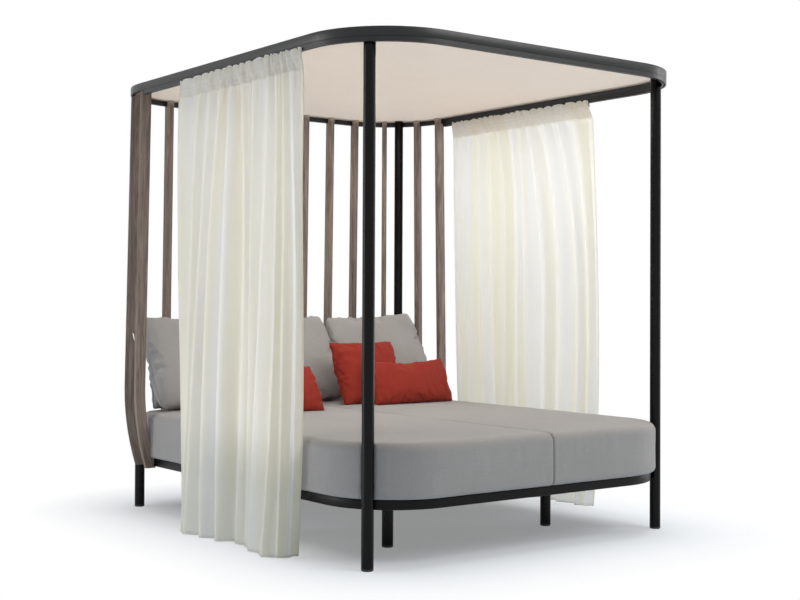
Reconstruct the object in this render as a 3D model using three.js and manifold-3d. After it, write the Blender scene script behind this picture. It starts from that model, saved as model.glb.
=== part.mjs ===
// Outdoor daybed with a canopy: a round-cornered steel base on eight legs, four tall posts that carry
// a canopy ring, timber slats round the head end, a two-part mattress, cushions and two curtains that
// slide on tracks. Millimetres, +Z up, +X to the right, -Y towards the open foot end.
// The origin is on the floor, at the middle of the footprint.

import * as THREE from 'three';
import { mergeVertices } from 'three/addons/utils/BufferGeometryUtils.js';
import Module from 'manifold-3d';

const wasm = await Module();
wasm.setup();

// Base ring: a rectangular tube bent round the bed, and the deck inside it
const baseWidth = 1762;
const baseLength = 2214;
const baseCornerRadius = 331;
const baseTop = 275;
const baseRingHeight = 41;
const baseRingWidth = 30;
const baseEdgeRadius = 5;
const crossbeamWidth = 50;
const deckThickness = 15;
const deckSlatWidth = 85;
const deckSlotWidth = 35;
const deckRim = 45;

// Posts and legs: one tube size throughout
const postDiameter = 50;
const postWall = 2.5;
const postBearing = 38.05; // degrees, seen from the base ring's corner centre
const innerLegX = 466;
const innerLegY = 640;
const capHeight = 10;
const capEdgeRadius = 3;
const capSpigotLength = 25;
const capSpigotClearance = 0.4;

// Canopy ring: the posts and slats stand inside its band, the panel's edge lies in its rebate
const totalHeight = 2130;
const canopyRingHeight = 40;
const canopyRingWidth = 21;
const canopyCornerRadius = 390;
const canopyBearing = 41.16; // degrees, seen from the canopy ring's corner centre
const canopyEdgeRadius = 4;
const panelThickness = 8;
const panelTopDrop = 2;
const panelRebateDepth = 7;

// Slats: timber staves housed on the base ring and lapped behind the canopy band
const slatWidth = 27;
const slatDepth = 50;
const lastSlatFromHead = 414.8;
const slatPlaceShares = [0.0743, 0.2229, 0.3715, 0.5201, 0.679, 0.8538, 1]; // of the way to the last slat
const slatSetIn = 4;
const slatLean = 24;
const slatBendRadius = 1338;
const slatFootStand = 42;
const slatFootDrop = 7;
const slatTopDrop = 10.5;
const slatEdgeRadius = 2;

// Mattress: two halves on the deck, their sides round and a little wider than the ring
const mattressHeight = 226;
const mattressBulge = 22;
const mattressHeadBulge = 4;
const mattressTopRounding = 46;
const mattressBottomRounding = 16;
const mattressSeamX = 50; // the left half is the wider one
const mattressSeamGap = 2;
const mattressSeamRounding = 16;
const mattressSeamCornerRadius = 10;
const mattressCrown = 8;
const mattressPostClearance = 3;

// Curtain tracks under the canopy ring: each runs from the last slat round the foot end's corner to the
// middle of the foot end, and its stops keep the curtain on the long side
const trackWidth = 20;
const trackHeight = 20;
const trackWall = 2;
const trackSlot = 6;
const trackEndMargin = 12;
const trackStopLength = 10;
const trackStopClearance = 0.3;

// Curtains, their heading tapes and gliders
const curtainFloorGap = 3;
const curtainTopGap = 4;
const curtainThickness = 4;
const curtainHeadFold = 11;
const curtainBodyFold = 19;
const curtainHemFold = 24;
const tapeHeight = 24;
const tapeThickness = 1.6;
const tapeDrop = 3;
const gliderHeadWidth = 13;
const gliderHeadLength = 9;
const gliderHeadHeight = 5;
const gliderStem = 3.5;

// How far each curtain is drawn: shares of its track's length that lie in front of it and that it
// covers, and a share of its own head width that the hem keeps
const leftCurtain = {
  side: -1, folds: 11, frontShare: 0.0393, headShare: 0.6971, hemShare: 0.738, hemShift: 60, flare: 80,
};
const rightCurtain = {
  side: 1, folds: 12, frontShare: 0.1814, headShare: 0.7513, hemShare: 0.775, hemShift: 30, flare: 80,
};

// Cushions and pillows: three cushions fill the head end, the rest lie where someone left them.
// A place is the middle of a pillow's foot: how far in from the base ring's long side, how far from its
// head end, how many degrees it leans back, how many it is turned and how many its outer end is raised
const cushionSeam = 5;
const cushionDrawIn = 14;
const backCushionCount = 3;
const backCushionHeight = 500;
const backCushionThickness = 165;
const cushionEndRoom = 47;
const cushionGap = 5;
const smallCushion = { width: 420, height: 200, thickness: 110 };
const squarePillow = { width: 425, height: 362, thickness: 120 };
const lumbarPillow = { width: 535, height: 252, thickness: 110 };
const middleCushionPlace = { fromHead: 332, lean: 24, turn: 0 };
const sideCushionPlace = { fromHead: 372, lean: 24, turn: 8, tilt: 2.5 };
const smallCushionPlace = { side: -1, fromSide: 296, fromHead: 167, lean: 6, turn: 4 };
const squarePillowPlace = { side: 1, fromSide: 556, fromHead: 595, lean: 24, turn: 2 };
const rightLumbarPlace = { side: 1, fromSide: 387, fromHead: 717, lean: 23, turn: 2 };
const leftLumbarPlace = { side: -1, fromSide: 451, fromHead: 807, lean: 29, turn: -4 };

// Tie-back hook on one slat: a short bar that stands off the stave on a stem
const hookSlat = 2;
const hookHeight = 872;
const hookInset = 15;
const hookBarDiameter = 8;
const hookBarLength = 38;
const hookBarTilt = 14; // degrees from upright
const hookStemDiameter = 6;
const hookStandOff = 9;

// Fits: how close two pieces lie that rest on each other
const seatGap = 0.3;

// Smoothness of round shapes
const cornerSteps = 12;
const tubeSides = 20;
const edgeSteps = 2;
const bendSteps = 7;
const pillowSteps = 8;
const foldSteps = 6;

const colours = {
  steel: { color: 0x1d1e20, roughness: 0.42, metalness: 0.6 },
  plastic: { color: 0x121213, roughness: 0.6, metalness: 0 },
  timber: { color: 0x75675c, roughness: 0.8, metalness: 0 },
  panel: { color: 0xd8ccc0, roughness: 0.9, metalness: 0 },
  greyCloth: { color: 0x9a9590, roughness: 0.95, metalness: 0 },
  redCloth: { color: 0xa23a2d, roughness: 0.95, metalness: 0 },
  curtain: { color: 0xf1eee2, roughness: 0.9, metalness: 0 },
  deck: { color: 0x2b2c2e, roughness: 0.5, metalness: 0.5 },
  pin: { color: 0xb9babb, roughness: 0.3, metalness: 1 },
};

const rad = THREE.MathUtils.degToRad;
const lerp = THREE.MathUtils.lerp;
const model = new THREE.Group();

// Sizes that follow from the ones above
const baseHalfX = baseWidth / 2;
const baseHalfY = baseLength / 2;
const baseBottom = baseTop - baseRingHeight;
const postRadius = postDiameter / 2;
const cornerTurn = Math.PI / 2 / cornerSteps;
const canopyInnerRadius = canopyCornerRadius - canopyRingWidth;
const canopyFacetSag = canopyInnerRadius * (1 - Math.cos(cornerTurn / 2));
const postReach = baseCornerRadius + seatGap + postRadius;
const postX = baseHalfX - baseCornerRadius + postReach * Math.cos(rad(postBearing));
const postY = baseHalfY - baseCornerRadius + postReach * Math.sin(rad(postBearing));
const canopyReach = canopyInnerRadius - canopyFacetSag - seatGap - postRadius;
const canopyHalfX = postX - canopyReach * Math.cos(rad(canopyBearing)) + canopyCornerRadius;
const canopyHalfY = postY - canopyReach * Math.sin(rad(canopyBearing)) + canopyCornerRadius;
const canopyBottom = totalHeight - canopyRingHeight;
const panelTop = totalHeight - panelTopDrop;
const panelBottom = panelTop - panelThickness;
const deckBottom = baseTop - deckThickness;
const mattressTop = baseTop + mattressHeight;
const slatRun = canopyCornerRadius - slatSetIn - slatDepth / 2;

// A closed geometry as a solid for cutting and joining, and back again
function solidOf(geometry) {
  const bare = geometry.clone();
  bare.deleteAttribute('normal');
  bare.deleteAttribute('uv');
  const merged = mergeVertices(bare);
  return new wasm.Manifold(new wasm.Mesh({
    numProp: 3,
    vertProperties: new Float32Array(merged.attributes.position.array),
    triVerts: new Uint32Array(merged.index.array),
  }));
}

function geometryOf(solid) {
  const mesh = solid.getMesh();
  const geometry = new THREE.BufferGeometry();
  geometry.setAttribute('position', new THREE.BufferAttribute(mesh.vertProperties, mesh.numProp));
  geometry.setIndex(new THREE.BufferAttribute(mesh.triVerts, 1));
  geometry.computeVertexNormals();
  return geometry;
}

function addMesh(parent, name, geometry, look) {
  const mesh = new THREE.Mesh(geometry, new THREE.MeshStandardMaterial(look));
  mesh.name = name;
  parent.add(mesh);
  return mesh;
}

function addFrame(x, y, z, turn) {
  const frame = new THREE.Group();
  frame.position.set(x, y, z);
  frame.rotation.z = turn;
  model.add(frame);
  return frame;
}

// Rows of points joined into a closed skin: each row is a closed loop, seen from outside the rows run
// upwards while each loop runs to the right, and both end rows are filled from their middles
function skinOfLoops(loops, capped) {
  const points = loops.flat();
  const count = loops[0].length;
  const faces = [];
  const rows = capped ? loops.length - 1 : loops.length;
  for (let row = 0; row < rows; row += 1) {
    const next = (row + 1) % loops.length;
    for (let i = 0; i < count; i += 1) {
      const j = (i + 1) % count;
      const a = row * count + i;
      const b = row * count + j;
      const c = next * count + j;
      const d = next * count + i;
      faces.push(a, b, c, a, c, d);
    }
  }
  if (capped) {
    const last = (loops.length - 1) * count;
    const bottom = points.push(middleOf(loops[0])) - 1;
    const top = points.push(middleOf(loops[loops.length - 1])) - 1;
    for (let i = 0; i < count; i += 1) {
      const j = (i + 1) % count;
      faces.push(bottom, j, i, top, last + i, last + j);
    }
  }
  const geometry = new THREE.BufferGeometry().setFromPoints(points);
  geometry.setIndex(faces);
  geometry.computeVertexNormals();
  return geometry;
}

function middleOf(loop) {
  const sum = loop.reduce((total, point) => total.add(point), new THREE.Vector3());
  return sum.divideScalar(loop.length);
}

// Stations round a rounded rectangle, anticlockwise from the +X side, each with its outward direction
function roundedStations(halfX, halfY, radius) {
  const stations = [];
  for (let corner = 0; corner < 4; corner += 1) {
    const signX = corner === 0 || corner === 3 ? 1 : -1;
    const signY = corner < 2 ? 1 : -1;
    for (let step = 0; step <= cornerSteps; step += 1) {
      const angle = corner * Math.PI / 2 + step * cornerTurn;
      const outX = Math.cos(angle);
      const outY = Math.sin(angle);
      const x = signX * (halfX - radius) + radius * outX;
      const y = signY * (halfY - radius) + radius * outY;
      stations.push({ x, y, outX, outY });
    }
  }
  return stations;
}

// A section swept round a rounded rectangle: each section point is a distance in from the outline
// and a height, and the section runs anticlockwise when the outline is on the right
function sweptRing(stations, section) {
  const loops = section.map(([inward, z]) => stations.map(
    ({ x, y, outX, outY }) => new THREE.Vector3(x - outX * inward, y - outY * inward, z),
  ));
  return skinOfLoops(loops, false);
}

// Quarter round for a section corner: centre, start angle in degrees and radius
function quarter(inward, z, start, radius) {
  const points = [];
  for (let step = 0; step <= edgeSteps; step += 1) {
    const angle = rad(start + 90 * step / edgeSteps);
    points.push([inward - radius * Math.cos(angle), z + radius * Math.sin(angle)]);
  }
  return points;
}

// How far inside a rounded rectangle's outline a point lies (negative inside)
function outlineDistance(x, y, halfX, halfY, radius) {
  const overX = Math.abs(x) - halfX + radius;
  const overY = Math.abs(y) - halfY + radius;
  const beyond = Math.hypot(Math.max(overX, 0), Math.max(overY, 0));
  return beyond + Math.min(Math.max(overX, overY), 0) - radius;
}

function outlineShape(halfX, halfY, radius) {
  return new THREE.Shape(
    roundedStations(halfX, halfY, radius).map(({ x, y }) => new THREE.Vector2(x, y)),
  );
}

// A tube closed at the top and open below, its foot at zero, standing along the lathe's axis
function tubeGeometry(length, wall) {
  const inner = postRadius - wall;
  const outline = [
    new THREE.Vector2(0, length - wall),
    new THREE.Vector2(inner, length - wall),
    new THREE.Vector2(inner, 0),
    new THREE.Vector2(postRadius, 0),
    new THREE.Vector2(postRadius, length),
    new THREE.Vector2(0, length),
  ];
  return new THREE.LatheGeometry(outline, tubeSides);
}

// The floor cap: a rounded disc with a spigot that fits inside the tube
function capGeometry() {
  const spigot = postRadius - postWall - capSpigotClearance;
  const outline = [
    new THREE.Vector2(0, 0),
    new THREE.Vector2(postRadius - capEdgeRadius, 0),
    new THREE.Vector2(postRadius, capEdgeRadius),
    new THREE.Vector2(postRadius, capHeight),
    new THREE.Vector2(spigot, capHeight),
    new THREE.Vector2(spigot, capHeight + capSpigotLength),
    new THREE.Vector2(0, capHeight + capSpigotLength),
  ];
  return new THREE.LatheGeometry(outline, tubeSides);
}

function addTubeWithCap(name, x, y, top) {
  const frame = addFrame(x, y, 0, 0);
  const cap = addMesh(frame, `${name}_cap`, capGeometry(), colours.plastic);
  cap.rotation.x = Math.PI / 2;
  const tube = addMesh(frame, name, tubeGeometry(top - capHeight, postWall), colours.steel);
  tube.position.z = capHeight;
  tube.rotation.x = Math.PI / 2;
}

function addPostsAndLegs() {
  for (const [end, signY] of [['front', -1], ['rear', 1]]) {
    for (const [side, signX] of [['left', -1], ['right', 1]]) {
      addTubeWithCap(`${end}_${side}_post`, signX * postX, signY * postY, panelBottom - seatGap);
      addTubeWithCap(`${end}_${side}_inner_leg`, signX * innerLegX, signY * innerLegY, baseBottom);
    }
  }
}

function addBaseRing() {
  const inner = baseRingWidth;
  const r = baseEdgeRadius;
  const section = [
    ...quarter(r, baseTop - r, 0, r),
    ...quarter(inner - r, baseTop - r, 90, r),
    ...quarter(inner - r, baseBottom + r, 180, r),
    ...quarter(r, baseBottom + r, 270, r),
  ];
  const stations = roundedStations(baseHalfX, baseHalfY, baseCornerRadius);
  addMesh(model, 'base_ring', sweptRing(stations, section), colours.steel);
}

// Three crossbeams between the ring's long sides, level with its underside, carry the deck
function addCrossbeams() {
  const height = deckBottom - baseBottom;
  const length = 2 * (baseHalfX - baseRingWidth - seatGap);
  for (const [name, y] of [['front', -innerLegY], ['middle', 0], ['rear', innerLegY]]) {
    const beam = new THREE.BoxGeometry(length, crossbeamWidth, height);
    addMesh(model, `${name}_crossbeam`, beam, colours.steel)
      .position.set(0, y, baseBottom + height / 2);
  }
}

// One half of the slatted deck: the inside of the ring cut by cross slots
function deckGeometry(side) {
  const halfX = baseHalfX - baseRingWidth - seatGap;
  const halfY = baseHalfY - baseRingWidth - seatGap;
  const radius = baseCornerRadius - baseRingWidth - seatGap;
  const corners = roundedStations(halfX, halfY, radius)
    .filter(({ x }) => x * side > 0)
    .map(({ x, y }) => new THREE.Vector2(x, y));
  const seam = side * seatGap;
  const ordered = side > 0
    ? [...corners.slice(-cornerSteps - 1), ...corners.slice(0, cornerSteps + 1)]
    : corners;
  const first = ordered[0].y;
  const last = ordered[ordered.length - 1].y;
  const shape = new THREE.Shape([
    new THREE.Vector2(seam, first), ...ordered, new THREE.Vector2(seam, last),
  ]);
  const pitch = deckSlatWidth + deckSlotWidth;
  const slots = Math.floor((halfY - deckRim - deckSlotWidth / 2) / pitch);
  for (let slot = -slots; slot <= slots; slot += 1) {
    const y = slot * pitch;
    const over = Math.max(Math.abs(y) + deckSlotWidth / 2 - halfY + radius, 0);
    const reach = halfX - radius + Math.sqrt(radius ** 2 - over ** 2) - deckRim;
    const ends = [seam + side * deckRim, side * reach];
    shape.holes.push(slotPath(Math.min(...ends), Math.max(...ends), y));
  }
  const deck = new THREE.ExtrudeGeometry(shape, { depth: deckThickness, bevelEnabled: false });
  deck.translate(0, 0, deckBottom);
  return deck;
}

function slotPath(left, right, y) {
  const half = deckSlotWidth / 2;
  return new THREE.Path([
    new THREE.Vector2(left, y - half),
    new THREE.Vector2(left, y + half),
    new THREE.Vector2(right, y + half),
    new THREE.Vector2(right, y - half),
  ]);
}

function addDecks() {
  addMesh(model, 'left_deck', deckGeometry(-1), colours.deck);
  addMesh(model, 'right_deck', deckGeometry(1), colours.deck);
}

// The canopy ring's section has rounded edges and, inside, the rebate that carries the panel's edge
function addCanopyRing() {
  const inner = canopyRingWidth;
  const r = canopyEdgeRadius;
  const shelf = panelBottom - seatGap;
  const section = [
    ...quarter(r, totalHeight - r, 0, r),
    [inner - panelRebateDepth, totalHeight],
    [inner - panelRebateDepth, shelf],
    [inner, shelf],
    ...quarter(inner - r, canopyBottom + r, 180, r),
    ...quarter(r, canopyBottom + r, 270, r),
  ];
  const stations = roundedStations(canopyHalfX, canopyHalfY, canopyCornerRadius);
  addMesh(model, 'canopy_ring', sweptRing(stations, section), colours.steel);
}

function addCanopyPanel() {
  const setIn = canopyRingWidth - panelRebateDepth + seatGap;
  const shape = outlineShape(canopyHalfX - setIn, canopyHalfY - setIn, canopyCornerRadius - setIn);
  const panel = new THREE.ExtrudeGeometry(shape, { depth: panelThickness, bevelEnabled: false });
  addMesh(model, 'canopy_panel', panel, colours.panel).position.z = panelBottom;
}

// A slat's place: a share of the staves' line from the middle of the head end to the last slat on a long
// side, + to the right
function slatPlace(share) {
  const side = Math.sign(share);
  const straight = canopyHalfX - canopyCornerRadius;
  const bend = slatRun * Math.PI / 2;
  const run = Math.abs(share) * (straight + bend + lastSlatFromHead - canopyCornerRadius);
  let x = run;
  let y = canopyHalfY;
  let bearing = Math.PI / 2;
  if (run > straight + bend) {
    x = canopyHalfX;
    y = canopyHalfY - canopyCornerRadius - (run - straight - bend);
    bearing = 0;
  } else if (run > straight) {
    bearing = Math.PI / 2 - (run - straight) / slatRun;
    x = straight + canopyCornerRadius * Math.cos(bearing);
    y = canopyHalfY - canopyCornerRadius + canopyCornerRadius * Math.sin(bearing);
  }
  return { x: side * x, y, bearing: side > 0 ? bearing : Math.PI - bearing };
}

// How far in from the canopy's outline the base ring's outer face lies, straight in from a slat's place
function baseSetIn({ x, y, bearing }) {
  const depths = [-0.5, 0, 0.5].map((share) => {
    const fromX = x - Math.sin(bearing) * share * slatWidth;
    const fromY = y + Math.cos(bearing) * share * slatWidth;
    let near = 0;
    let far = canopyCornerRadius;
    for (let halving = 0; halving < 40; halving += 1) {
      const middle = (near + far) / 2;
      const px = fromX - Math.cos(bearing) * middle;
      const py = fromY - Math.sin(bearing) * middle;
      const outside = outlineDistance(px, py, baseHalfX, baseHalfY, baseCornerRadius) > 0;
      near = outside ? middle : near;
      far = outside ? far : middle;
    }
    return near;
  });
  return Math.min(...depths);
}

// The slat's side view: a straight leaning stave whose foot bends in to the base ring. The first
// coordinate runs out from the canopy ring's outer face, the second is the height
function slatShape(setIn) {
  const footOut = slatFootStand - setIn;
  const shoulderOut = slatLean - slatSetIn;
  const footZ = baseBottom - slatFootDrop;
  const bendHeight = Math.sqrt(2 * slatBendRadius * (shoulderOut - footOut));
  const bendZ = footZ + bendHeight;
  const topZ = totalHeight - slatTopDrop;
  const outer = [];
  for (let step = 0; step <= bendSteps; step += 1) {
    const rise = bendHeight * step / bendSteps;
    const drop = (bendHeight - rise) ** 2 / (2 * slatBendRadius);
    outer.push(new THREE.Vector2(shoulderOut - drop, footZ + rise));
  }
  const inner = outer.map((point) => new THREE.Vector2(point.x - slatDepth, point.y));
  const clear = inner.filter((point) => point.y > baseTop + seatGap);
  const innerAt = (z) => shoulderOut - slatDepth - Math.max(bendZ - z, 0) ** 2 / (2 * slatBendRadius);
  const ringFace = seatGap - setIn;
  const lapOut = -canopyRingWidth - seatGap - slatWidth ** 2 / (8 * canopyInnerRadius) - canopyFacetSag;
  return new THREE.Shape([
    ...outer,
    new THREE.Vector2(-slatSetIn, canopyBottom - seatGap),
    new THREE.Vector2(lapOut, canopyBottom - seatGap),
    new THREE.Vector2(lapOut, topZ),
    new THREE.Vector2(-slatSetIn - slatDepth, topZ),
    ...clear.reverse(),
    new THREE.Vector2(innerAt(baseTop + seatGap), baseTop + seatGap),
    new THREE.Vector2(ringFace, baseTop + seatGap),
    new THREE.Vector2(ringFace, baseBottom - seatGap),
    new THREE.Vector2(innerAt(baseBottom - seatGap), baseBottom - seatGap),
    new THREE.Vector2(innerAt(footZ), footZ),
  ]);
}

function addSlats() {
  const shares = [...slatPlaceShares.map((share) => -share).reverse(), ...slatPlaceShares];
  shares.forEach((share, index) => {
    const place = slatPlace(share);
    const stave = new THREE.ExtrudeGeometry(slatShape(baseSetIn(place)), {
      depth: slatWidth - 2 * slatEdgeRadius,
      bevelThickness: slatEdgeRadius,
      bevelSize: slatEdgeRadius,
      bevelOffset: -slatEdgeRadius,
      bevelSegments: 1,
    });
    stave.translate(0, 0, slatEdgeRadius - slatWidth / 2);
    const frame = addFrame(place.x, place.y, 0, place.bearing);
    const name = `slat_${String(index + 1).padStart(2, '0')}`;
    addMesh(frame, name, stave, colours.timber).rotation.x = Math.PI / 2;
    if (index + 1 === hookSlat) addHook(frame);
  });
}

// The hook lies on the side of the stave that faces the foot end, near its inner edge
function addHook(frame) {
  const barRadius = hookBarDiameter / 2;
  const stemRadius = hookStemDiameter / 2;
  const straight = hookBarLength - hookBarDiameter;
  const bar = new THREE.CapsuleGeometry(barRadius, straight, edgeSteps, foldSteps + 2);
  bar.rotateX(Math.PI / 2);
  bar.rotateY(rad(hookBarTilt));
  bar.translate(0, hookStandOff, 0);
  const stem = new THREE.CylinderGeometry(stemRadius, stemRadius, hookStandOff, foldSteps + 2);
  stem.translate(0, hookStandOff / 2, 0);
  const hook = geometryOf(solidOf(bar).add(solidOf(stem)));
  const straightFall = (canopyBottom - hookHeight) / (canopyBottom - baseTop);
  const innerEdge = slatLean * straightFall - slatSetIn - slatDepth;
  addMesh(frame, 'tieback_hook', hook, colours.pin)
    .position.set(innerEdge + hookInset, slatWidth / 2 + seatGap, hookHeight);
}

// One level of a mattress half: a rectangle with two large corners outside and two small at the seam
function mattressLoop(side, inset, seamInset, z) {
  const outer = baseHalfX + mattressBulge - inset;
  const seam = side * mattressSeamX + mattressSeamGap / 2 + seamInset;
  const foot = baseHalfY + mattressBulge - inset;
  const head = baseHalfY + mattressHeadBulge - inset;
  const large = baseCornerRadius + mattressBulge - inset;
  const small = mattressSeamCornerRadius;
  const corners = [
    { x: outer - large, y: -foot + large, radius: large, start: -90, steps: cornerSteps },
    { x: outer - large, y: head - large, radius: large, start: 0, steps: cornerSteps },
    { x: seam + small, y: head - small, radius: small, start: 90, steps: edgeSteps },
    { x: seam + small, y: -foot + small, radius: small, start: 180, steps: edgeSteps },
  ];
  const loop = corners.flatMap(({ x, y, radius, start, steps }) => {
    const arc = [];
    for (let step = 0; step <= steps; step += 1) {
      const angle = rad(start + 90 * step / steps);
      arc.push(new THREE.Vector3(side * (x + radius * Math.cos(angle)), y + radius * Math.sin(angle), z));
    }
    return arc;
  });
  return side > 0 ? loop : loop.reverse();
}

// The levels of a mattress half from its bottom up: how far in from the widest outline, how far in
// from the seam, and the height
function mattressLevels() {
  const sides = [
    [mattressBulge + 0.2 * mattressBottomRounding, 0.4, 0],
    [0.55 * mattressBulge, 0.1, 0.09],
    [0.12 * mattressBulge, 0, 0.28],
    [0, 0, 0.52],
    [0.12 * mattressTopRounding, 0, 0.76],
    [0.42 * mattressTopRounding, 0.35, 0.92],
    [mattressTopRounding, 1.2, 1],
  ].map(([inset, seamShare, rise]) => ({
    inset, seamInset: seamShare * mattressSeamRounding, z: baseTop + rise * mattressHeight,
  }));
  const edge = sides[sides.length - 1];
  const crown = [[0.35, 0.6], [0.75, 1]].map(([spreadShare, riseShare]) => {
    const further = spreadShare * (baseCornerRadius - mattressTopRounding);
    return {
      inset: edge.inset + further,
      seamInset: edge.seamInset + further,
      z: mattressTop + riseShare * mattressCrown,
    };
  });
  return [...sides, ...crown];
}

function mattressGeometry(side) {
  const loops = mattressLevels().map(
    ({ inset, seamInset, z }) => mattressLoop(side, inset, seamInset, z),
  );
  return skinOfLoops(loops, true);
}

// The height of the mattress's upper surface at a place, going by how far in the place lies
function mattressSurface(x, y) {
  const widest = mattressLevels().slice(3);
  const endY = baseHalfY + (y > 0 ? mattressHeadBulge : mattressBulge);
  const radius = baseCornerRadius + mattressBulge;
  const fromOutline = -outlineDistance(x, y, baseHalfX + mattressBulge, endY, radius);
  const fromSeam = Math.abs(x - mattressSeamX) - mattressSeamGap / 2;
  const heightAt = (distance, key) => {
    const upper = widest.findIndex((level) => level[key] >= distance);
    if (upper < 0) return widest[widest.length - 1].z;
    if (upper === 0) return baseTop;
    const low = widest[upper - 1];
    const high = widest[upper];
    return lerp(low.z, high.z, (distance - low[key]) / Math.max(high[key] - low[key], Number.EPSILON));
  };
  return Math.min(heightAt(fromOutline, 'inset'), heightAt(fromSeam, 'seamInset'));
}

// Each half is cut round the two posts that it lies against
function addMattresses() {
  const radius = postRadius + mattressPostClearance;
  const height = 2 * mattressHeight;
  for (const [name, side] of [['left_mattress', -1], ['right_mattress', 1]]) {
    let half = solidOf(mattressGeometry(side));
    for (const end of [-1, 1]) {
      const post = new THREE.CylinderGeometry(radius, radius, height, tubeSides);
      post.rotateX(Math.PI / 2);
      post.translate(side * postX, end * postY, baseTop + mattressHeight / 2);
      half = half.subtract(solidOf(post));
    }
    addMesh(model, name, geometryOf(half), colours.greyCloth);
  }
}

// A pillow lying on its back: pointed corners, drawn-in sides, full middle and a seam round the edge
function pillowGeometry({ width, height, thickness }) {
  const spread = (i) => Math.sin(Math.PI / 2 * (2 * i / pillowSteps - 1));
  const points = [];
  const faces = [];
  const row = pillowSteps + 1;
  for (const face of [1, -1]) {
    for (let j = 0; j < row; j += 1) {
      for (let i = 0; i < row; i += 1) {
        const u = spread(i);
        const v = spread(j);
        const fullness = ((1 - u * u) * (1 - v * v)) ** 0.42;
        const out = cushionSeam / 2 + (thickness - cushionSeam) / 2 * fullness;
        points.push(new THREE.Vector3(
          u * (width / 2 - cushionDrawIn * (1 - v * v)),
          v * (height / 2 - cushionDrawIn * (1 - u * u)),
          face * out,
        ));
      }
    }
  }
  const back = row * row;
  for (let j = 0; j < pillowSteps; j += 1) {
    for (let i = 0; i < pillowSteps; i += 1) {
      const a = j * row + i;
      const b = a + 1;
      const c = a + row + 1;
      const d = a + row;
      faces.push(a, b, c, a, c, d);
      faces.push(back + a, back + c, back + b, back + a, back + d, back + c);
    }
  }
  const rim = [];
  for (let i = 0; i < pillowSteps; i += 1) rim.push(i);
  for (let j = 0; j < pillowSteps; j += 1) rim.push(j * row + pillowSteps);
  for (let i = pillowSteps; i > 0; i -= 1) rim.push(pillowSteps * row + i);
  for (let j = pillowSteps; j > 0; j -= 1) rim.push(j * row);
  rim.forEach((a, k) => {
    const b = rim[(k + 1) % rim.length];
    faces.push(a, back + a, back + b, a, back + b, b);
  });
  const geometry = new THREE.BufferGeometry().setFromPoints(points);
  geometry.setIndex(faces);
  geometry.computeVertexNormals();
  return geometry;
}

// Stands a pillow on the mattress, leaning back, and lowers it until it just clears the surface
function addPillow(name, size, { side, fromSide, fromHead, lean, turn, tilt = 0 }, look) {
  const x = side * (baseHalfX - fromSide);
  const frame = addFrame(x, baseHalfY - fromHead, 0, rad(turn));
  const mesh = addMesh(frame, name, pillowGeometry(size), look);
  mesh.rotation.set(Math.PI / 2 - rad(lean), 0, rad(side * tilt));
  mesh.position.set(0, size.height / 2 * Math.sin(rad(lean)), 0);
  frame.updateMatrixWorld(true);
  const placed = mesh.geometry.clone().applyMatrix4(mesh.matrixWorld).attributes.position;
  let lift = -Infinity;
  for (let i = 0; i < placed.count; i += 1) {
    lift = Math.max(lift, mattressSurface(placed.getX(i), placed.getY(i)) - placed.getZ(i));
  }
  mesh.position.z = lift + seatGap;
}

function addCushions() {
  const width = (baseWidth - 2 * cushionEndRoom) / backCushionCount;
  const backCushion = { width, height: backCushionHeight, thickness: backCushionThickness };
  for (const [name, side, place] of [
    ['left_back_cushion', -1, sideCushionPlace],
    ['middle_back_cushion', 0, middleCushionPlace],
    ['right_back_cushion', 1, sideCushionPlace],
  ]) {
    const fromSide = baseHalfX - width - cushionGap;
    addPillow(name, backCushion, { ...place, side, fromSide, turn: -side * place.turn }, colours.greyCloth);
  }
  addPillow('small_cushion', smallCushion, smallCushionPlace, colours.greyCloth);
  addPillow('square_pillow', squarePillow, squarePillowPlace, colours.redCloth);
  addPillow('right_lumbar_pillow', lumbarPillow, rightLumbarPlace, colours.redCloth);
  addPillow('left_lumbar_pillow', lumbarPillow, leftLumbarPlace, colours.redCloth);
}

// A curtain travels between the front corner's end and the last slat
const trackX = canopyHalfX - canopyRingWidth / 2;
const trackFront = -(canopyHalfY - canopyCornerRadius) + trackEndMargin;
const lastSlatY = slatPlace(slatPlaceShares[slatPlaceShares.length - 1]).y;
const trackRear = lastSlatY - slatWidth / 2 - trackEndMargin;
const trackBottom = canopyBottom - trackHeight;
const curtainTop = trackBottom - curtainTopGap;

// The track's section is a channel with a slot below, in the middle of the canopy ring's underside
function trackSection() {
  const half = trackWidth / 2;
  const inside = half - trackWall;
  const slot = trackSlot / 2;
  const floor = trackBottom + trackWall;
  const roof = canopyBottom - trackWall;
  return [
    [-half, canopyBottom],
    [half, canopyBottom],
    [half, trackBottom],
    [slot, trackBottom],
    [slot, floor],
    [inside, floor],
    [inside, roof],
    [-inside, roof],
    [-inside, floor],
    [-slot, floor],
    [-slot, trackBottom],
    [-half, trackBottom],
  ].map(([across, z]) => [canopyRingWidth / 2 + across, z]);
}

// One track: the channel swept along the whole ring, of which one half up to the last slat is kept
function trackGeometry(side) {
  const stations = roundedStations(canopyHalfX, canopyHalfY, canopyCornerRadius);
  const joint = seatGap / 2;
  const kept = new THREE.BoxGeometry(canopyHalfX - joint, canopyHalfY + trackRear, 2 * trackHeight);
  kept.translate(side * (canopyHalfX + joint) / 2, (trackRear - canopyHalfY) / 2, trackBottom);
  return geometryOf(solidOf(sweptRing(stations, trackSection())).intersect(solidOf(kept)));
}

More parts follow.
